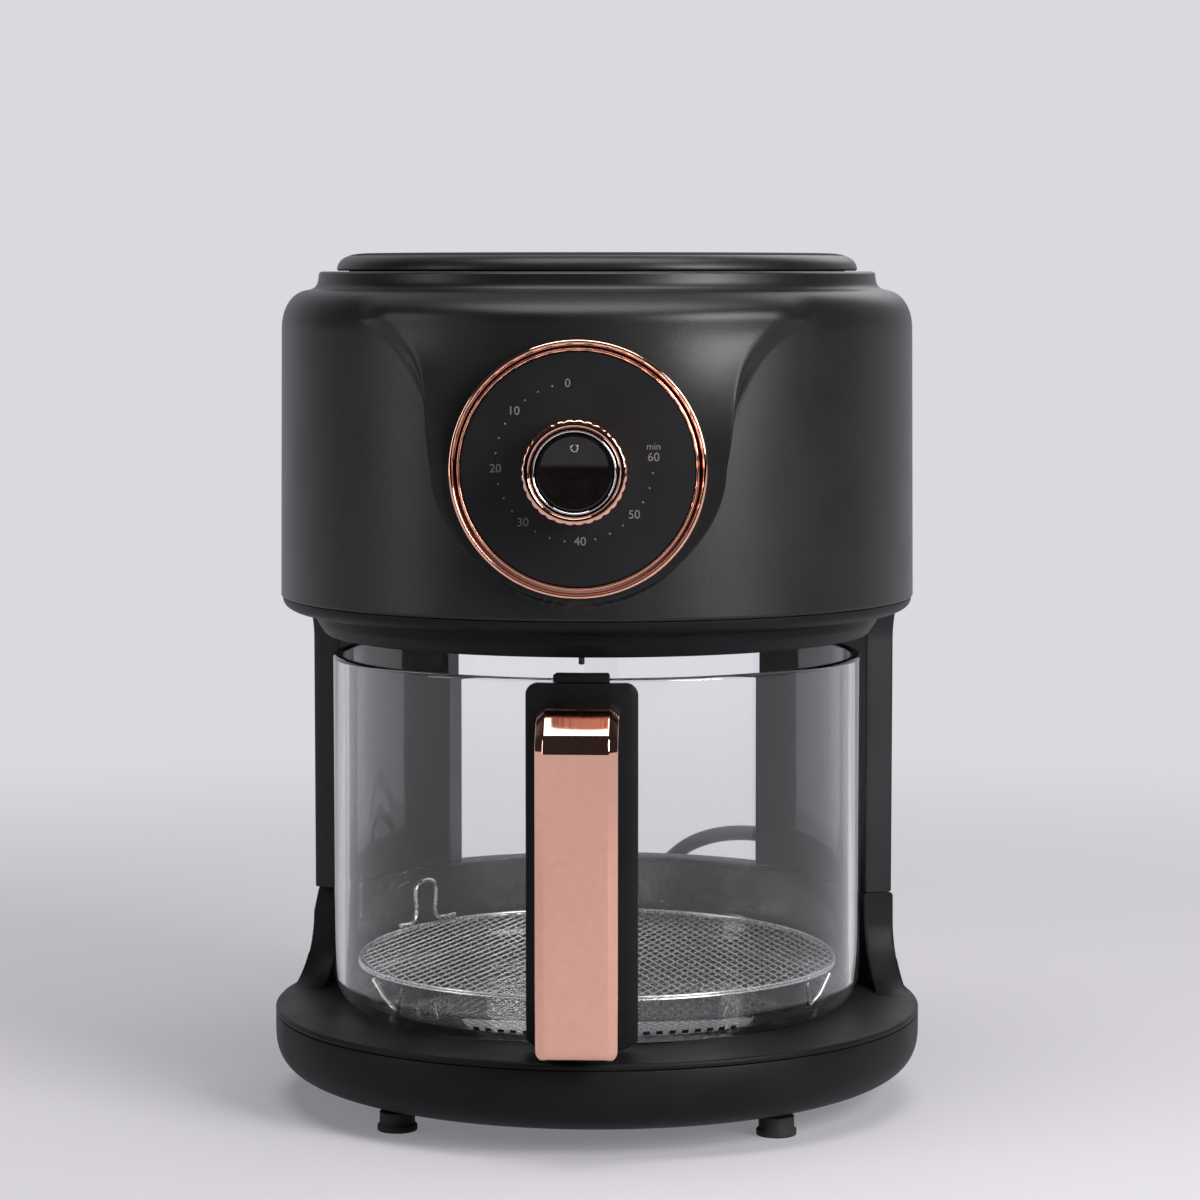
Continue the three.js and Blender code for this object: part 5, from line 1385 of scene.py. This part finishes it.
@dataclass
class Dial:
    """The dial: its plate with the minutes, its ring and its knob."""

    z: float = 282.6
    back: float = 140.3
    plate_radius: float = 47.2
    plate: float = 1.8
    ring_outer: float = 52.0
    ring_inner: float = 47.5
    knob_radius: float = 21.0
    scallops: int = 32
    scallop: float = 0.45
    knob_front: float = 166.6
    dish_radius: float = 14.6
    dish_depth: float = 1.1
    pointer_out: float = 9.7
    pointer_radius: float = 1.35
    scale_x: float = -1.4
    scale_z: float = 2.8
    scale_radius: float = 31.8
    scale_start: float = 4.8
    scale_step: float = 44.85
    labels: int = 7
    dots_between: int = 4
    dot_radius: float = 0.38
    digit: float = 4.9

    def plate_and_ring(self) -> None:
        """Turns the plate and the ring with its two beads and the groove between them."""
        back, front, radius = self.back, self.back + self.plate, self.plate_radius
        corners = [(3.6, back, 0), (radius, back, 0.2), (radius, front, 0.5), (3.6, front, 0)]
        plate = rounded(corners, closed=True)
        Shape().turned_to_front(plate, self.z).wear("dial_face", PLATE_BLACK, "stand", "dial_plate")
        outer_bead = arc(51.0, back + 2.3, 1.0, spread(0, 2.9, 12))
        inner_bead = arc(48.1, back + 2.0, 0.6, spread(0.2, 3.1, 8))
        groove = [(49.8, back + 0.6), (48.9, back + 0.6)]
        ring = [(self.ring_outer, back), *outer_bead, *groove, *inner_bead, (self.ring_inner, back)]
        trim = Shape().turned_to_front(ring, self.z, 224)
        trim.wear("dial_trim", ROSE_GOLD, "stand", "dial_ring", sharp=50)

    def write(self, shape: Shape, text: str, x: float, z: float, size: float) -> None:
        """Writes a short text flat on the plate.

        Args:
            shape: the shape to which it is added.
            text: what it says.
            x: its middle across.
            z: its middle's height.
            size: its letters' size in millimetres.
        """
        line = bpy.data.curves.new(text, "FONT")
        line.body, line.size, line.extrude = text, size, 0.03
        line.align_x, line.align_y = "CENTER", "CENTER"
        holder = bpy.data.objects.new(text, line)
        bpy.context.scene.collection.objects.link(holder)
        mesh = evaluated(holder)
        front, start = self.back + self.plate + 0.05, len(shape.points)
        shape.points.extend((x + v.co.x, -front - v.co.z, z + v.co.y) for v in mesh.vertices)
        shape.faces.extend(tuple(start + i for i in face.vertices) for face in mesh.polygons)
        bpy.data.objects.remove(holder)
        bpy.data.curves.remove(line)
        bpy.data.meshes.remove(mesh)

    def scale(self, copies: Copies) -> None:
        """Writes the minutes and sets the dots between them.

        Args:
            copies: the tree that repeats a shape.
        """
        shape = Shape()
        middle_z, radius = self.z + self.scale_z, self.scale_radius
        for k in range(self.labels):
            turn = math.radians(self.scale_start + self.scale_step * k)
            x, z = self.scale_x - radius * math.sin(turn), middle_z + radius * math.cos(turn)
            self.write(shape, str(10 * k), x, z, self.digit)
        self.write(shape, "min", x, z + 4.3, self.digit * 0.8)
        shape.wear("dial_minutes", INK, "stand")
        line = arc(0, radius, self.dot_radius, full_turn(14))
        dot = Shape().loft([[(a, -out, b) for a, b in line] for out in (-0.3, 0.06)])
        between = self.dots_between
        dots = copies.make("dial_dots", dot, INK, between * (self.labels - 1),
                           (self.scale_x, -self.back - self.plate, middle_z), start=-self.scale_start,
                           step=-self.scale_step / between, axis=(0, 1, 0), skip=between)
        dress(dots, "stand", INK)

    def scalloped(self, angle: float, radius: float) -> float:
        """Draws the knob's skirt in between its scallops and leaves its inner side round."""
        wave = abs(math.sin(math.radians(angle * self.scallops / 2)))
        return radius - self.scallop * smooth(radius, 19.9, 20.9) * (1 - wave) ** 1.3

    def dished(self, rim: float, radius: float) -> float:
        """Gives how far out the knob's hollow face reaches at a radius."""
        return rim - self.dish_depth * (1 - (radius / self.dish_radius) ** 2)

    def knob(self) -> None:
        """Makes the knob: a scalloped metal skirt, a black core, a bright ring and a dished face."""
        radius, front, back = self.knob_radius, self.knob_front, self.back + self.plate + 0.9
        skirt = rounded([
            (17.6, back, 0), (20.6, back, 0), (radius, back + 0.8, 0.4), (radius, front, 2.6),
            (18.4, front, 0.6), (17.6, front - 1.2, 0.4),
        ], closed=True, steps=7)
        metal = Shape().turned_to_front(skirt, self.z, 384, self.scalloped)
        metal.wear("knob_skirt_metal", ROSE_GOLD, "knob", "knob_skirt", sharp=45)
        floor = front - 3.4
        seat = floor + 0.3
        core = rounded([
            (3.3, back - 0.6, 0), (17.3, back - 0.6, 0.4), (17.3, floor, 0.5), (0, floor, 0),
            (0, floor - 6, 0), (3.3, floor - 6, 0),
        ])
        body = Shape().turned_to_front(core, self.z, 128)
        body.wear("knob_body", BASE_BLACK, "knob", "knob_core")
        crown = [(16.4 + 0.6 * math.cos(t), floor + 1.5 + 0.95 * math.sin(t))
                 for t in spread(0, math.pi, 12)]
        trim = Shape().turned_to_front([(17.0, seat), *crown, (15.8, seat)], self.z, 160)
        trim.wear("knob_trim", CHROME, "knob", "knob_ring", sharp=50)
        rim = seat + 1.9
        dish = [(r, self.dished(rim, r)) for r in spread(self.dish_radius, 0, 14)]
        face = [(0, seat), (15.3, seat), (15.3, rim - 0.5), (15.1, rim - 0.1), *dish]
        glass = Shape().turned_to_front(face, self.z, 160)
        glass.wear("knob_dish", GLOSS_BLACK, "knob", "knob_face", sharp=50)
        self.pointer(self.dished(rim, self.pointer_out))

    def pointer(self, reach: float) -> None:
        """Sets the small open ring near the knob's edge that points at the minutes.

        Args:
            reach: how far in front of the axis the knob's face is there.
        """
        turns = map(math.radians, spread(110, 430, 28))
        line = arc(0, self.z + self.pointer_out, self.pointer_radius, turns)
        wire = Shape().tube([(a, -reach - 0.12, b) for a, b in line], 0.32, 10)
        wire.wear("knob_pointer", CHROME, "knob")

    def build(self, copies: Copies) -> None:
        """Makes the dial's pieces.

        Args:
            copies: the tree that repeats a shape.
        """
        self.plate_and_ring()
        self.scale(copies)
        self.knob()


@dataclass
class Pot:
    """The glass pot, the clip on its rim and its handle."""

    radius: float = 115.7
    wall: float = 4.2
    bottom: float = 41.5
    floor: float = 44.5
    rim: float = 195.6
    outer_corner: float = 13.0
    inner_corner: float = 10.0
    dashes: int = 21
    dash_step: float = 2.8
    clip_half: float = 11.4
    strap_width: float = 46.0
    strap_back: float = 116.0
    strap_front: float = 118.5
    strap_low: float = 42.0
    strap_top: float = 194.0
    strap_corner: float = 5.0
    strap_cut: float = 3.6
    reach: float = 158.0
    width: float = 33.5
    chamfer: float = 3.2
    top: float = 187.5
    foot: float = 45.0
    foot_corner: float = 5.0
    side_corner: float = 4.0
    bend: float = 17.0
    facet: float = 3.9
    depth: float = 9.0
    slope: float = 1.2
    channel: float = 9.0
    core_width: float = 27.0
    gap: float = 0.3

    def glass(self) -> Piece:
        """Turns the pot from one thick wall of glass.

        Returns:
            The pot.
        """
        inner = self.radius - self.wall
        outline = rounded([
            (0, self.bottom, 0), (self.radius, self.bottom, self.outer_corner), (self.radius, self.rim, 1.7),
            (inner, self.rim, 1.7), (inner, self.floor, self.inner_corner), (0, self.floor, 0),
        ], steps=14)
        return Shape().turned(outline, 224).wear("pot_glass", GLASS, "pot", "glass_pot", sharp=60)

    def corner_reach(self, z: float, lift: float) -> float:
        """Gives the radius of the pot's lower corner at a height, some way out from the glass."""
        drop = self.bottom + self.outer_corner - z
        return self.radius - self.outer_corner + math.sqrt((self.outer_corner + lift) ** 2 - drop ** 2)

    def marks(self, copies: Copies) -> Piece:
        """Prints a row of small dashes round the lower front, where the glass turns in to its floor.

        Args:
            copies: the tree that repeats a shape.

        Returns:
            The dashes.
        """
        corners = ((-0.7, 47.2), (0.7, 47.2), (0.7, 48.8), (-0.7, 48.8))
        dash = Shape().loft([[polar(self.corner_reach(z, lift), a, z) for a, z in corners]
                             for lift in (0.02, 0.08)])
        made = copies.make("pot_dashes", dash, PLATE_BLACK, self.dashes, start=-113, step=self.dash_step)
        return dress(made, "pot", PLATE_BLACK)

    def clip(self) -> Piece:
        """Makes the clip that hooks the handle's strap over the rim.

        Returns:
            The clip.
        """
        inside, outside = self.radius - self.wall - self.gap, self.radius + self.gap
        front, back = outside + 2.5, inside - 1.7
        low, top, seat = 194.3, 197.6, self.rim + self.gap
        section = rounded([
            (front, low, 0.2), (front, top, 0.9), (back, top, 0.9), (back, 186.1, 0.6), (inside, 186.1, 0.3),
            (inside, seat, 0.3), (outside, seat, 0.3), (outside, low, 0),
        ], closed=True, steps=3)
        half = math.degrees(self.clip_half / self.radius)
        middle = (inside + outside) / 2
        rings = []
        for share in (-1, -0.97, -0.6, -0.2, 0.2, 0.6, 0.97, 1):
            shrink = 0.25 if abs(share) == 1 else 0.0
            ring = [(r - shrink * (1 if r > middle else -1), z - shrink * (z > 190)) for r, z in section]
            rings.append([polar(r, -90 + half * share, z) for r, z in ring])
        return Shape().loft(rings).wear("rim_hook", BASE_BLACK, "pot", "rim_clip")

    def strap_half(self, z: float) -> float:
        """Gives half the strap's width at a height, with its round upper and its cut lower corners.

        Args:
            z: the height.

        Returns:
            Half the width.
        """
        half, corner = self.strap_width / 2, self.strap_corner
        above = z - (self.strap_top - corner)
        if above > 0:
            return half - corner + math.sqrt(max(corner ** 2 - above ** 2, 0))
        return half - 6 * max(0.0, 1 - (z - self.strap_low) / self.strap_cut)

    def strap(self) -> Piece:
        """Makes the curved plate between the glass and the handle, with soft edges.

        Returns:
            The plate.
        """
        low, top, back = self.strap_low, self.strap_top, self.strap_back
        heights = [*spread(low, low + self.strap_cut, 4), *spread(50, 186, 12),
                   *[top - self.strap_corner * (1 - math.sin(t)) for t in spread(0, math.pi / 2, 9)]]
        rings = []
        for i, z in enumerate(heights):
            front = self.strap_front - (0.8 if i in (0, len(heights) - 1) else 0.0)
            half = max(self.strap_half(min(z, top - 0.05)), 14.0)
            across = [
                (-half, back), (-half, front - 0.9), (-half + 0.3, front - 0.3),
                *[(s, front) for s in spread(-half + 0.9, half - 0.9, 16)],
                (half - 0.3, front - 0.3), (half, front - 0.9), (half, back),
                *[(s, back) for s in spread(half * 0.9, -half * 0.9, 10)],
            ]
            rings.append([polar(r, -90 + math.degrees(s / back), z) for s, r in across])
        return Shape().loft(rings).wear("strap_plate", BASE_BLACK, "pot", "handle_strap")

    def handle_path(self) -> list[tuple[float, float, float, float]]:
        """Draws the handle's outer line, from its top back, over the bend with its facet, to its foot.

        Returns:
            For each point y, z, the way in along y and the way in along z.
        """
        middle_y, middle_z = -self.reach + self.bend, self.top - self.slope - self.bend
        path = [(y, self.top - self.slope * smooth(-y, 127.5, 141), 0.0, -1.0)
                for y in spread(-self.strap_front - self.channel, middle_y, 4)]
        radius = self.bend - self.facet
        for turn in spread(90, 180, 38)[1:]:
            c, s = polar(1.0, turn)[:2]
            passed = self.facet * smooth(turn, 127, 143)
            path.append((middle_y - passed + radius * c, middle_z + self.facet - passed + radius * s, -c, -s))
        end = self.foot + self.foot_corner
        path += [(-self.reach, z, 1.0, 0.0) for z in spread(middle_z, end, 16)[1:]]
        for turn in spread(0, 90, 8)[1:]:
            c, s = polar(self.foot_corner, turn)[:2]
            path.append((-self.reach + self.foot_corner - c, end - s, 1.0, 0.0))
        return path

    def handle_shell(self) -> Piece:
        """Sweeps the metallised shell: a flat front with chamfered sides, bent over at the top.

        Returns:
            The shell.
        """
        half, cut, corner = self.width / 2, self.chamfer, self.side_corner
        flat = half - cut - 0.4
        section = dense(rounded([
            (-half, self.depth, 0.3), (-half, cut, 1.3), (-flat, 0, 1.5), (flat, 0, 1.5), (half, cut, 1.3),
            (half, self.depth, 0.3),
        ], closed=True, steps=5), 7.0)
        rings = []
        for y, z, in_y, in_z in self.handle_path():
            rounding = max(y + self.reach, 0.0) if in_y == 1.0 else 0.0
            missing = max(self.foot + corner - z, 0.0)
            narrow = 1 - (corner - math.sqrt(max(corner ** 2 - missing ** 2, 0.0))) / half
            ring = []
            for x, inwards in section:
                depth = max(inwards - rounding, 0.0) if inwards < self.depth - 0.5 else inwards - rounding
                ring.append((x * narrow, y + in_y * depth, z + in_z * depth))
            rings.append(ring)
        return Shape().loft(rings).wear("handle_cover", ROSE_GOLD, "pot", "handle_shell", sharp=50)

    def handle_core(self, copies: Copies) -> None:
        """Makes the black core behind the shell, with the ribs in its top channel and its two screws.

        Args:
            copies: the tree that repeats a shape.
        """
        back, ledge = self.strap_front + self.gap, self.strap_front + self.channel - self.gap
        face = self.reach - self.depth - self.gap
        grip = face - 4.7
        seam, under = self.top - self.depth - self.gap, self.top - 15.5
        bend_y, bend_z = -self.reach + self.bend, self.top - self.slope - self.bend
        inner = self.bend - self.depth - self.gap
        curve = arc(bend_y, bend_z, inner, map(math.radians, spread(90, 180, 6)))
        outline = [
            (-back, self.top - 3), (-ledge, self.top - 3), (-ledge, seam), *curve, (-face, 51), (-back, 51),
            *rounded([(-back, 64, 0), (-grip, 64, 2), (-grip, under, 6), (-back, under, 0)], steps=5),
        ]
        core = Shape().drawn_across(outline, self.core_width)
        core.wear("handle_grip", BASE_BLACK, "pot", "handle_core", bevel=0.7)
        rib = Shape().block((-0.7, -ledge + 0.1, self.top - 3.2), (0.7, -back - 0.1, self.top - 0.9))
        ribs = copies.make("handle_ribs", rib, BASE_BLACK, 4, (-9, 0, 0), (6, 0, 0))
        dress(ribs, "pot", BASE_BLACK)
        head = rounded([
            (0, grip - 1.2, 0), (0.9, grip - 1.2, 0), (1.0, grip - 1.5, 0.1), (2.3, grip - 1.7, 0.5),
            (2.6, grip - 0.3, 0), (1.3, grip - 0.3, 0), (1.3, grip + 3.7, 0), (0, grip + 3.7, 0),
        ])
        for node, z in (("handle_screw_lower", 77.0), ("handle_screw_upper", 146.0)):
            Shape().turned_to_front(head, z, 32).wear(f"{node}_head", STAINLESS, "pot", node)

    def build(self, copies: Copies) -> None:
        """Makes the pot's pieces.

        Args:
            copies: the tree that repeats a shape.
        """
        self.glass()
        self.marks(copies)
        self.clip()
        self.strap()
        self.handle_shell()
        self.handle_core(copies)


@dataclass
class Rack:
    """The wire rack: its rim, its net, its three legs and its lifting loop."""

    radius: float = 106.0
    band: float = 2.4
    low: float = 59.8
    top: float = 62.2
    net_z: float = 61.0
    cell_width: float = 4.7
    cell_height: float = 13.0
    net_wire: float = 0.33
    gap: float = 0.3
    leg_wire: float = 1.0
    leg_foot: float = 45.8
    foot_radius: float = 101.2
    leg_spread: float = 7.0
    loop_angle: float = 143.0
    loop_wire: float = 1.1
    loop_width: float = 13.5
    loop_height: float = 17.0
    loop_bend: float = 2.6
    loop_foot: float = 12.0

    def leg(self, name: str, angle: float) -> Piece:
        """Bends one leg from wire.

        Args:
            name: the solid that it replaces.
            angle: its place round the rack.

        Returns:
            The leg.
        """
        top, rim = self.low - self.gap - self.leg_wire, self.radius - self.band / 2
        knee, knee_z = (rim * 2 + self.foot_radius) / 3, (top * 2 + self.leg_foot) / 3
        foot, foot_z = self.foot_radius, self.leg_foot + self.leg_wire / 4
        half = [(rim, 1.0, top), (knee, 0.72, knee_z), (foot, 0.16, foot_z)]
        points = [polar(r, angle - self.leg_spread * share, z) for r, share, z in half]
        points.append(polar(foot, angle, self.leg_foot))
        points += [polar(r, angle + self.leg_spread * share, z) for r, share, z in reversed(half)]
        wire = Shape().tube(through(points, 8), self.leg_wire, 12)
        return wire.wear(f"{name}_wire", STAINLESS, "rack", name)

    def loop(self) -> Piece:
        """Bends the lifting loop from wire, with its feet along the rim.

        Returns:
            The loop.
        """
        half, bend = self.loop_width / 2, self.loop_bend
        low = self.top + self.gap + self.loop_wire
        high = low + self.loop_height
        side = [(-half - self.loop_foot, low), (-half - bend, low), (-half, low + bend), (-half, high - bend),
                (-half + bend, high)]
        rim = self.radius - self.band / 2
        points = [polar(rim, self.loop_angle - math.degrees(along / rim), z)
                  for along, z in [*side, *[(-along, z) for along, z in reversed(side)]]]
        wire = Shape().tube(through(points, 8), self.loop_wire, 12)
        return wire.wear("rack_lifting_loop", STAINLESS, "rack", "rack_loop")

    def build(self, net: WireNet) -> None:
        """Makes the rack's pieces.

        Args:
            net: the tree that weaves a round net.
        """
        middle, thick = self.radius - self.band / 2, self.band / 4 + 0.02
        rim = Shape()
        for level in (self.low + thick, self.top - thick):
            rim.turned(arc(middle, level, thick, full_turn(14)), 192)
        rim.wear("rack_rim_band", STAINLESS, "rack", "rack_rim")
        made = net.grow("rack_wire_net", {
            "Cells": 2 * math.ceil(self.radius / self.cell_width) + 27,
            "Cell Width": self.cell_width * MM, "Cell Height": self.cell_height * MM,
            "Radius": (self.radius - self.band + 0.2) * MM, "Wire": self.net_wire * MM,
            "Centre": tuple(placed((0, 0, self.net_z))), "Material": STAINLESS.material(),
        }, sharp=80, closed=False)
        dress(made, "rack", STAINLESS, "rack_net")
        for name, angle in (("right", -22.6), ("left", -144.6), ("rear", 96.4)):
            self.leg(f"rack_leg_{name}", angle)
        self.loop()


@dataclass
class Studio:
    """The pale floor and backdrop, the lamps and the camera."""

    lens: float = 114.0
    distance: float = 1.6606
    eye: float = 0.3618
    azimuth: float = 3.1
    tilt: float = 4.95
    yaw: float = 0.045
    pale: Colour = (0.715, 0.69, 0.745)
    albedo: Colour = (0.42, 0.405, 0.43)
    glow: float = 0.27
    floor_half: float = 30.0
    front_end: float = 2.3
    near: float = 0.25
    far: float = 1.3
    dim: float = 0.045
    behind_from: float = 0.3
    behind_to: float = 0.85
    behind_share: float = 0.85
    aim_height: float = 0.2

    def camera(self) -> None:
        """Places the camera as it stood for the photo."""
        turn = math.radians(self.azimuth)
        data = bpy.data.cameras.new("camera")
        data.lens, data.sensor_width = self.lens, 36.0
        holder = bpy.data.objects.new("camera", data)
        holder.location = (self.distance * math.sin(turn), AXIS_Y - self.distance * math.cos(turn), self.eye)
        holder.rotation_euler = (math.radians(90 - self.tilt), 0, turn - math.radians(self.yaw))
        bpy.context.scene.collection.objects.link(holder)
        bpy.context.scene.camera = holder

    def rise(self, tree: NodeTree, value: Socket, low: float, high: float, top: float = 1.0) -> Socket:
        """Gives a gentle rise of a value, from 0 at low to the top at high."""
        inputs = {"Value": value, "From Min": low, "From Max": high, "To Max": top}
        return add_node(tree, "ShaderNodeMapRange", inputs, interpolation_type="SMOOTHSTEP").outputs["Result"]

    def product(self, tree: NodeTree, first: Socket, second: Socket) -> Socket:
        """Multiplies two values and gives the result."""
        return add_node(tree, "ShaderNodeMath", {0: first, 1: second}, operation="MULTIPLY").outputs[0]

    def seen(self, tree: NodeTree, mirrored: Socket) -> Socket:
        """Tells what the camera sees from light that spreads.

        Args:
            tree: the nodes.
            mirrored: how much of it shows in a mirror.

        Returns:
            1 for what is seen straight or through glass, the given share in a mirror, and 0 for light that
            spreads.
        """
        path = add_node(tree, "ShaderNodeLightPath").outputs
        total = path["Is Camera Ray"]
        for value in (path["Is Transmission Ray"], self.product(tree, path["Is Glossy Ray"], mirrored)):
            total = add_node(tree, "ShaderNodeMath", {0: total, 1: value}, operation="ADD",
                             use_clamp=True).outputs[0]
        return total

    def floor_material(self) -> bpy.types.Material:
        """Makes the floor: shaded near the object, pale as the room far off, and dark in mirrors in front.

        Returns:
            The material.
        """
        material = bpy.data.materials.new("pale floor")
        material.use_nodes = True
        tree = material.node_tree
        shader = tree.nodes["Principled BSDF"]
        shader.inputs["Roughness"].default_value = 0.8
        shader.inputs["Specular IOR Level"].default_value = 0.0
        shader.inputs["Emission Color"].default_value = (*self.pale, 1)
        place = add_node(tree, "ShaderNodeTexCoord").outputs["Object"]
        length = add_node(tree, "ShaderNodeVectorMath", {0: place}, operation="LENGTH").outputs["Value"]
        far = self.rise(tree, length, self.near, self.far)
        colours = {0: far, 6: (*self.albedo, 1), 7: (0, 0, 0, 1)}
        albedo = add_node(tree, "ShaderNodeMix", colours, data_type="RGBA")
        tree.links.new(albedo.outputs[2], shader.inputs["Base Color"])
        glow = add_node(tree, "ShaderNodeMapRange", {"Value": far, "To Min": self.glow}).outputs["Result"]
        depth = add_node(tree, "ShaderNodeSeparateXYZ", {0: place}).outputs["Y"]
        ahead = self.rise(tree, depth, -self.front_end - 1.0, -self.front_end)
        strength = self.product(tree, glow, self.seen(tree, ahead))
        tree.links.new(strength, shader.inputs["Emission Strength"])
        return material

    def stage(self) -> None:
        """Lays the floor."""
        floor = bpy.data.meshes.new("floor")
        half = self.floor_half
        corners = [(-half, -half, 0), (half, -half, 0), (half, half, 0), (-half, half, 0)]
        floor.from_pydata(corners, [], [(0, 1, 2, 3)])
        floor.materials.append(self.floor_material())
        floor_object = bpy.data.objects.new("floor", floor)
        bpy.context.scene.collection.objects.link(floor_object)

    def world(self) -> None:
        """Fills the room: pale behind the appliance, dark in front and above, where the camera stands."""
        world = bpy.data.worlds.new("room")
        bpy.context.scene.world = world
        world.use_nodes = True
        tree = world.node_tree
        background = tree.nodes["Background"]
        background.inputs["Color"].default_value = (*self.pale, 1)
        place = add_node(tree, "ShaderNodeTexCoord").outputs["Generated"]
        depth = add_node(tree, "ShaderNodeSeparateXYZ", {0: place}).outputs["Y"]
        behind = self.rise(tree, depth, self.behind_from, self.behind_to, self.behind_share)
        inputs = {"Value": self.seen(tree, behind), "To Min": self.dim, "To Max": 1.0}
        strength = add_node(tree, "ShaderNodeMapRange", inputs)
        tree.links.new(strength.outputs["Result"], background.inputs["Strength"])

    def lamp(self, name: str, azimuth: float, height: float, distance: float, size: tuple[float, float],
             power: float) -> None:
        """Hangs one soft box that faces the object.

        Args:
            name: its name.
            azimuth: degrees from the front, to the right.
            height: its height in metres.
            distance: how far it stands from the axis in metres.
            size: its width and height in metres.
            power: its power in watts.
        """
        data = bpy.data.lights.new(name, "AREA")
        data.shape, data.size, data.size_y, data.energy = "RECTANGLE", size[0], size[1], power
        holder = bpy.data.objects.new(name, data)
        turn = math.radians(azimuth)
        holder.location = (distance * math.sin(turn), AXIS_Y - distance * math.cos(turn), height)
        aim = Vector((0, AXIS_Y, self.aim_height)) - holder.location
        holder.rotation_euler = aim.to_track_quat("-Z", "Y").to_euler()
        bpy.context.scene.collection.objects.link(holder)

    def build(self) -> None:
        """Sets up the camera, the stage and the light."""
        self.camera()
        self.stage()
        self.world()
        self.lamp("right soft box", 47, 0.8, 1.5, (0.6, 0.9), 30.0)
        self.lamp("left soft box", -66, 0.6, 1.7, (0.35, 1.0), 5.5)
        self.lamp("top soft box", 5, 1.5, 0.25, (1.2, 0.8), 16.0)
        self.lamp("rear soft box", 165, 1.2, 1.5, (1.3, 0.8), 6.0)
        bpy.context.scene.view_settings.view_transform = "Standard"


def main() -> None:
    """Builds the scene in order."""
    logging.basicConfig(level=logging.INFO, format="%(message)s")
    Studio().build()
    Lead().build()
    copies, net = Copies(), WireNet()
    Base().build(copies)
    Columns().build()
    Head().build()
    Works().build(copies)
    Dial().build(copies)
    Pot().build(copies)
    Rack().build(net)
    bpy.context.view_layer.update()


if __name__ == "__main__":
    main()
